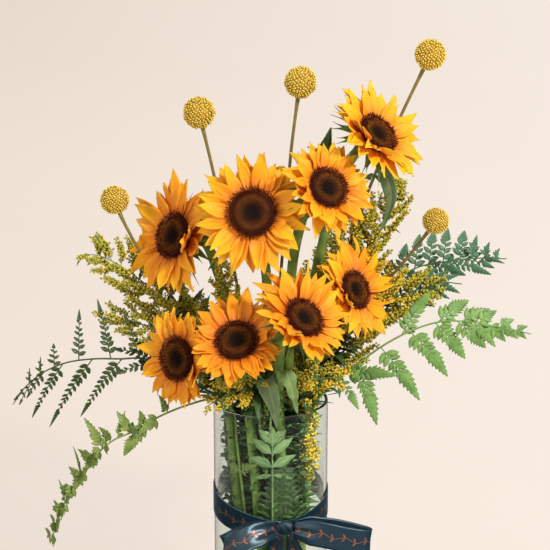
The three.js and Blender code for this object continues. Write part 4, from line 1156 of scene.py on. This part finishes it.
class BOUQUET_OT_goldenrod(Operator):
    """Builds the goldenrod sprays: green stems, lance leaves, fine twigs and tiny yellow buds"""

    bl_idname = "bouquet.goldenrod"
    bl_label = "Goldenrod"

    def bud_twig(self, stems, buds, path, bud, shut, chance):
        """A thin twig with buds in spirals all along it."""
        stems.tube(path, np.linspace(0.42, 0.2, len(path)) * MM, 4, 0.4)
        heading = directions(path)
        count = max(3, int(run_along(path)[-1] / (0.95 * MM)))
        for j in range(count):
            k = min(len(path) - 1, int((0.12 + 0.88 * j / count) * len(path)))
            a, b = axes_for(heading[k], UP)
            push = a * math.cos(j * GOLDEN) + b * (0.3 + math.sin(j * GOLDEN))
            at = inside_glass(path[k] + push * 0.5 * MM, 3.5 * MM)
            size = bud * chance.uniform(0.7, 1.15)
            tint = min(1, max(0, shut + chance.uniform(-0.5, 0.5)))
            buds.append((at, unit(heading[k] * 0.75 + push), size, tint))

    def lance_leaf(self, leaves, foot, aim, length, chance):
        half = LEAF_OUTLINE * length * chance.uniform(0.1, 0.17)
        curl = math.radians(chance.uniform(-80, -10))
        points, u, v = blade(length, half, 0.2, curl, 9, 5, twist=chance.uniform(-0.6, 0.6), keel=0.3)
        lift = unit(UP - aim * aim[2] + 1e-6)
        placed = carried(points, foot, aim, np.cross(lift, aim), lift)
        leaves.grid(inside_glass(placed), u, v, chance.random())

    def side_twigs(self, stems, buds, twig, length, bud, shut, chance):
        """Short twigs to both sides of a twig, shorter towards its tip."""
        steps = directions(twig)
        apart = 3.2 * MM
        for j in range(int(length / apart)):
            m = min(23, 4 + int(18 * j * apart / length))
            a, b = axes_for(steps[m], UP)
            spin = chance.uniform(-0.5, 0.5) + (j % 2) * math.pi
            aim = unit(steps[m] * 1.1 + a * math.cos(spin) + b * (0.35 + 0.5 * math.sin(spin)))
            short = min(13 * MM, length * 0.3) * chance.uniform(0.5, 1.0) * (1.1 - j * apart / length * 0.6)
            points = [twig[m], twig[m] + aim * short * 0.5, twig[m] + (aim + UP * 0.1) * short]
            self.bud_twig(stems, buds, smooth_path(points, 7), bud, shut, chance)

    def spray(self, name, plan, settings, materials, chance):
        path = rooted_path(name, plan["route"], STATIONS)
        heading = directions(path)
        last = STATIONS - 1
        stems, leaves, flowers, buds = Sketch(), Sketch(), Sketch(), []
        stems.tube(path, np.linspace(1.3, 0.45, STATIONS) * MM, 8, 0.5)
        count = int(settings.twigs * plan["twigs"])
        for i in range(count):
            share = 1 - plan["leafy"] * (1 - (i + chance.random() * 0.8) / count)
            k = min(last - 2, int(share * last))
            facing, across = axes_for(heading[k], UP_AND_BACK)
            turn = i * GOLDEN + chance.uniform(-0.4, 0.4)
            side = across * math.cos(turn) + facing * math.sin(turn) * 0.6 + plan.get("lean", 0)
            taper = math.sin(math.pi * (0.3 + 0.62 * i / count))
            length = plan["longest"] * MM * taper * chance.uniform(0.75, 1.1)
            out = unit(heading[k] * 0.85 + side * 0.9)
            tip = path[k] + out * length + UP * length * chance.uniform(0.0, 0.2)
            twig = smooth_path([path[k], path[k] + unit(heading[k] * 0.4 + side) * length * 0.42, tip], 24)
            self.bud_twig(stems, buds, twig, settings.bud, plan["shut"], chance)
            self.side_twigs(stems, buds, twig, length, settings.bud, plan["shut"], chance)
            if i % 2 == 0:
                long = chance.uniform(14, 26) * MM
                self.lance_leaf(leaves, path[k], unit(heading[k] * 0.4 + side), long, chance)
        at, aim, size, tint = (np.array(column) for column in zip(*buds))
        flowers.scatter(BUD, BUD_FACES, at, aim, size * 0.68, size, 0.5, tint)
        for i in range(plan["leaves"]):
            share = 0.02 + (0.98 - plan["leafy"] * 0.6) * (i + chance.random()) / plan["leaves"]
            k = min(last - 2, int(share * last))
            facing, across = axes_for(heading[k], UP_AND_BACK)
            side = across * math.cos(i * GOLDEN) + facing * math.sin(i * GOLDEN)
            long = chance.uniform(22, 40) if path[k][2] > VASE_HEIGHT else chance.uniform(18, 30)
            self.lance_leaf(leaves, path[k], unit(heading[k] * 0.5 + side), long * MM, chance)
        green, yellow, leafy = materials
        stems.piece(f"{name}_stalks", "goldenrod_bud", name, green)
        flowers.piece(f"{name}_buds", "goldenrod_bud", name, yellow, smooth=False)
        leaves.piece(f"{name}_leaves", "goldenrod_bud", name, leafy, THIN["lance leaf"])

    def execute(self, context):
        green = twig_material("Goldenrod stalk", "#4f6b34", "#7d8f45")
        leafy = leaf_material("Goldenrod leaf", "#203c1f", "#557a45", "#8aa368", 0.45)
        materials = (green, bud_material(), leafy)
        for number, (name, plan) in enumerate(SPRAYS.items()):
            chance = random.Random(SEEDS["goldenrod"] + number)
            self.spray(name, plan, context.scene.greenery_settings, materials, chance)
        return {"FINISHED"}


# Single leaves: the points their midribs follow, in millimetres beside the axis and above the
# rim, the share that is stalk, the full width, which way the blade spreads, and its lobes.
LEAVES = {
    "leaf_over_rim": dict(
        node="leaf_over_rim", tone="grey", width=19, stalk=0.3, lobes=0, across=(0.95, -0.1, 0.2),
        path=[(-10, -43, -14), (-10, -46, 12), (-8, -54, 33), (-5, -63, 40), (0, -71, 30), (4, -73, 12),
              (6, -71, -4)],
    ),
    "leaf_lobed": dict(
        node="leaf_lobed", tone="light", width=15, stalk=0.5, lobes=5, across=(0.95, -0.1, 0.2),
        path=[(0, -46, -30), (0, -46.5, -10), (1, -48, 6), (5, -59, 26), (10, -76, 50), (14, -88, 58),
              (18, -92, 48), (22, -91, 32), (25, -87, 16)],
    ),
    "leaf_hanging": dict(
        node="sunflower_top_right_stem", tone="grey", width=16, stalk=0.22, lobes=0, across=(0.75, -0.6, 0.3),
        path=[(66, 16, 214), (92, 2, 218), (106, -12, 222), (112, -22, 206), (108, -26, 188),
              (101, -26, 172)],
    ),
    "leaf_behind": dict(
        node="sunflower_upper_right_stem", tone="deep", width=19, stalk=0.3, lobes=0, across=(0.9, 0.3, -0.2),
        path=[(34, -24, 190), (40, -10, 210), (46, -2, 232), (52, -2, 250), (56, -2, 266)],
    ),
}


class BOUQUET_OT_leaves(Operator):
    """Builds the single leaves, with their stalks, midribs and side veins"""

    bl_idname = "bouquet.leaves"
    bl_label = "Leaves"

    def leaf(self, name, plan, material, chance):
        path = smooth_path([spot(*p) for p in plan["path"]], 60)
        stalk = int(plan["stalk"] * 60)
        sketch = Sketch()
        sketch.tube(path[: stalk + 8], np.linspace(1.0, 0.6, stalk + 8) * MM, 8, 0.8)
        share = np.linspace(0, 1, 60 - stalk)
        half = np.interp(share, np.linspace(0, 1, len(LEAF_OUTLINE)), LEAF_OUTLINE) * plan["width"] / 2 * MM
        if plan["lobes"]:
            half = half * (0.72 + 0.34 * np.abs(np.sin(share * math.pi * plan["lobes"])))
        s = np.linspace(-1, 1, 11)
        offsets = (half * (1 + 0.035 * np.sin(share * 95)))[:, None] * s
        lifts = 0.7 * MM * np.sin(share * 14 + 1)[:, None] * s * np.abs(s) - 0.22 * half[:, None] * np.abs(s)
        rows = along_curve(path[stalk:], np.array(plan["across"]), offsets, lifts)
        sketch.grid(rows, np.tile(s * 0.5 + 0.5, len(rows)), np.repeat(share, 11), chance.random())
        sketch.piece(f"{name}_blade", "broad_leaf", plan["node"], material, THIN["broad leaf"])

    def pressed_sprig(self, material, chance):
        """The sprig pressed against the inside of the glass: pairs of broad leaflets and one at the tip."""
        low, high = limits("sprig_in_vase")
        stand, foot = VASE_RADIUS - 4.6 * MM, 1.7 * MM
        stalk = [round_glass(stand, foot, z) for z in np.linspace(low[2] + 1 * MM, high[2] - 20 * MM, 8)]
        sketch = Sketch()
        sketch.tube(smooth_path(stalk, 60), np.linspace(1.0, 0.6, 60) * MM, 8, 0.8)
        waves = 1 + 0.2 * np.cos(np.arange(len(LEAF_OUTLINE)) * 2.6)
        # Leaflets as (side, depth below the top, reach, rise), in millimetres.
        pairs = ((50, 20, -6), (42, 23, 9), (29, 20, 15), (18, 13, 13))
        leaflets = [(side, *pair) for pair in pairs for side in (-1, 1)] + [(0.05, 22, 8, 20)]
        for side, depth, reach, rise in leaflets:
            start = round_glass(stand, foot, high[2] - depth * MM)
            end = round_glass(stand, foot + side * reach * MM, high[2] - (depth - rise) * MM)
            aim, out = unit(end - start), unit(start * [1, 1, 0])
            half = LEAF_OUTLINE * waves * (2.6 if rise < 0 else 5.2) * MM
            curl = math.radians(chance.uniform(-20, 4))
            points, u, v = blade(np.linalg.norm(end - start), half, 0.0, curl, 15, 7, keel=-0.15)
            placed = carried(points, start, aim, np.cross(out, aim), out)
            sketch.grid(inside_glass(placed, 1.2 * MM), u, v, chance.random())
        sketch.piece("sprig_in_vase_leaves", "broad_leaf", "sprig_in_vase", material, THIN["sprig"])

    def execute(self, context):
        tones = {
            "grey": leaf_material("Broad leaf, grey-green", "#526f45", "#7d9866", "#a6b98a", 0.45),
            "light": leaf_material("Broad leaf, light", "#5e8144", "#8aa761", "#b2c68c", 0.45),
            "deep": leaf_material("Broad leaf, deep", "#2f4f2b", "#4d6f3c", "#7c955c", 0.35),
        }
        for number, (name, plan) in enumerate(LEAVES.items()):
            self.leaf(name, plan, tones[plan["tone"]], random.Random(SEEDS["leaf"] + number))
        self.pressed_sprig(tones["grey"], random.Random(SEEDS["pressed sprig"]))
        return {"FINISHED"}


# ---------------------------------------------------------------- stage


class BOUQUET_OT_stage(Operator):
    """Sets up the pale floor that sweeps up behind, the soft lights and the camera"""

    bl_idname = "bouquet.stage"
    bl_label = "Stage, lights and camera"

    def sweep(self):
        """A floor that rises behind the bouquet in one smooth bend."""
        half_width, bend, behind, height = 14.0, 1.5, 3.0, 5.0
        profile = [(-half_width, 0.0), (behind, 0.0)]
        for a in np.linspace(0, math.pi / 2, 14)[1:]:
            profile.append((behind + bend * math.sin(a), bend * (1 - math.cos(a))))
        profile.append((behind + bend, height))
        points = [(x, y, z) for y, z in profile for x in (-half_width, half_width)]
        faces = [(2 * i, 2 * i + 1, 2 * i + 3, 2 * i + 2) for i in range(len(profile) - 1)]
        mesh = bpy.data.meshes.new("studio_sweep")
        mesh.from_pydata(points, [], faces)
        mesh.polygons.foreach_set("use_smooth", [True] * len(faces))
        mesh.materials.append(stage_material())
        sweep = bpy.data.objects.new("studio_sweep", mesh)
        bpy.context.scene.collection.objects.link(sweep)
        sweep.visible_glossy = False

    def light(self, name, place, target, size, power, code):
        lamp = bpy.data.lights.new(name, "AREA")
        lamp.shape = "DISK"
        lamp.size, lamp.energy, lamp.color = size, power, linear(code)[:3]
        holder = bpy.data.objects.new(name, lamp)
        holder.location = place
        holder.rotation_euler = (Vector(target) - Vector(place)).to_track_quat("-Z", "Y").to_euler()
        bpy.context.scene.collection.objects.link(holder)

    def execute(self, context):
        scene = context.scene
        self.sweep()
        world = bpy.data.worlds.new("Soft studio")
        world.use_nodes = True
        sky = world.node_tree.nodes["Background"]
        height = coordinates(world.node_tree, "Generated")[2] * 0.5 + 0.5
        # Dark below the horizon, so that glass and satin mirror a dim room there.
        feed(sky.inputs["Color"], graded(height, [(0.4, "#191817"), (0.47, "#f6f2ee")]))
        sky.inputs["Strength"].default_value = 0.42
        scene.world = world
        scene.view_settings.view_transform = "Standard"

        self.light("Key", (1.5, -1.7, 2.2), (0, 0, 0.36), 0.4, 76, "#fff8ee")
        self.light("Fill", (-2.2, -1.6, 1.3), (0, 0, 0.3), 1.6, 20, "#fff6ea")
        self.light("Back", (-0.8, 2.2, 2.0), (0, 0, 0.35), 1.2, 14, "#fffaf4")

        camera = bpy.data.objects.new("Camera", bpy.data.cameras.new("Camera"))
        camera.data.sensor_width = 36
        camera.data.lens = 130.9
        camera.data.clip_end = 50
        camera.location = (0.0042, -1.8088, 0.9192)
        tilt_down = math.radians(16.8)
        camera.rotation_euler = (math.pi / 2 - tilt_down, 0, 0)
        scene.collection.objects.link(camera)
        scene.camera = camera
        return {"FINISHED"}


# ---------------------------------------------------------------- the add-on

STEPS = (
    BOUQUET_OT_stage,
    BOUQUET_OT_vase,
    BOUQUET_OT_ribbon,
    BOUQUET_OT_sunflowers,
    BOUQUET_OT_craspedia,
    BOUQUET_OT_ferns,
    BOUQUET_OT_goldenrod,
    BOUQUET_OT_leaves,
)
SETTINGS = {
    "vase_settings": VaseSettings,
    "ribbon_settings": RibbonSettings,
    "sunflower_settings": SunflowerSettings,
    "craspedia_settings": CraspediaSettings,
    "greenery_settings": GreenerySettings,
}


class BOUQUET_PT_panel(Panel):
    """Lists the bouquet's sizes and the buttons that build it"""

    bl_idname = "BOUQUET_PT_panel"
    bl_label = "Sunflowers in a vase"
    bl_space_type = "VIEW_3D"
    bl_region_type = "UI"
    bl_category = "Bouquet"

    def draw(self, context):
        for key, kind in SETTINGS.items():
            box = self.layout.box()
            for field in kind.__annotations__:
                box.prop(getattr(context.scene, key), field)
        for step in STEPS:
            self.layout.operator(step.bl_idname)


CLASSES = (*SETTINGS.values(), *STEPS, BOUQUET_PT_panel)


def register():
    for item in CLASSES:
        bpy.utils.register_class(item)
    for key, kind in SETTINGS.items():
        setattr(bpy.types.Scene, key, PointerProperty(type=kind))


def unregister():
    for key in SETTINGS:
        delattr(bpy.types.Scene, key)
    for item in reversed(CLASSES):
        bpy.utils.unregister_class(item)


def main():
    register()
    bpy.ops.bouquet.stage()
    bpy.ops.bouquet.vase()
    bpy.ops.bouquet.ribbon()
    bpy.ops.bouquet.sunflowers()
    bpy.ops.bouquet.craspedia()
    bpy.ops.bouquet.ferns()
    bpy.ops.bouquet.goldenrod()
    bpy.ops.bouquet.leaves()


if __name__ == "__main__":
    main()
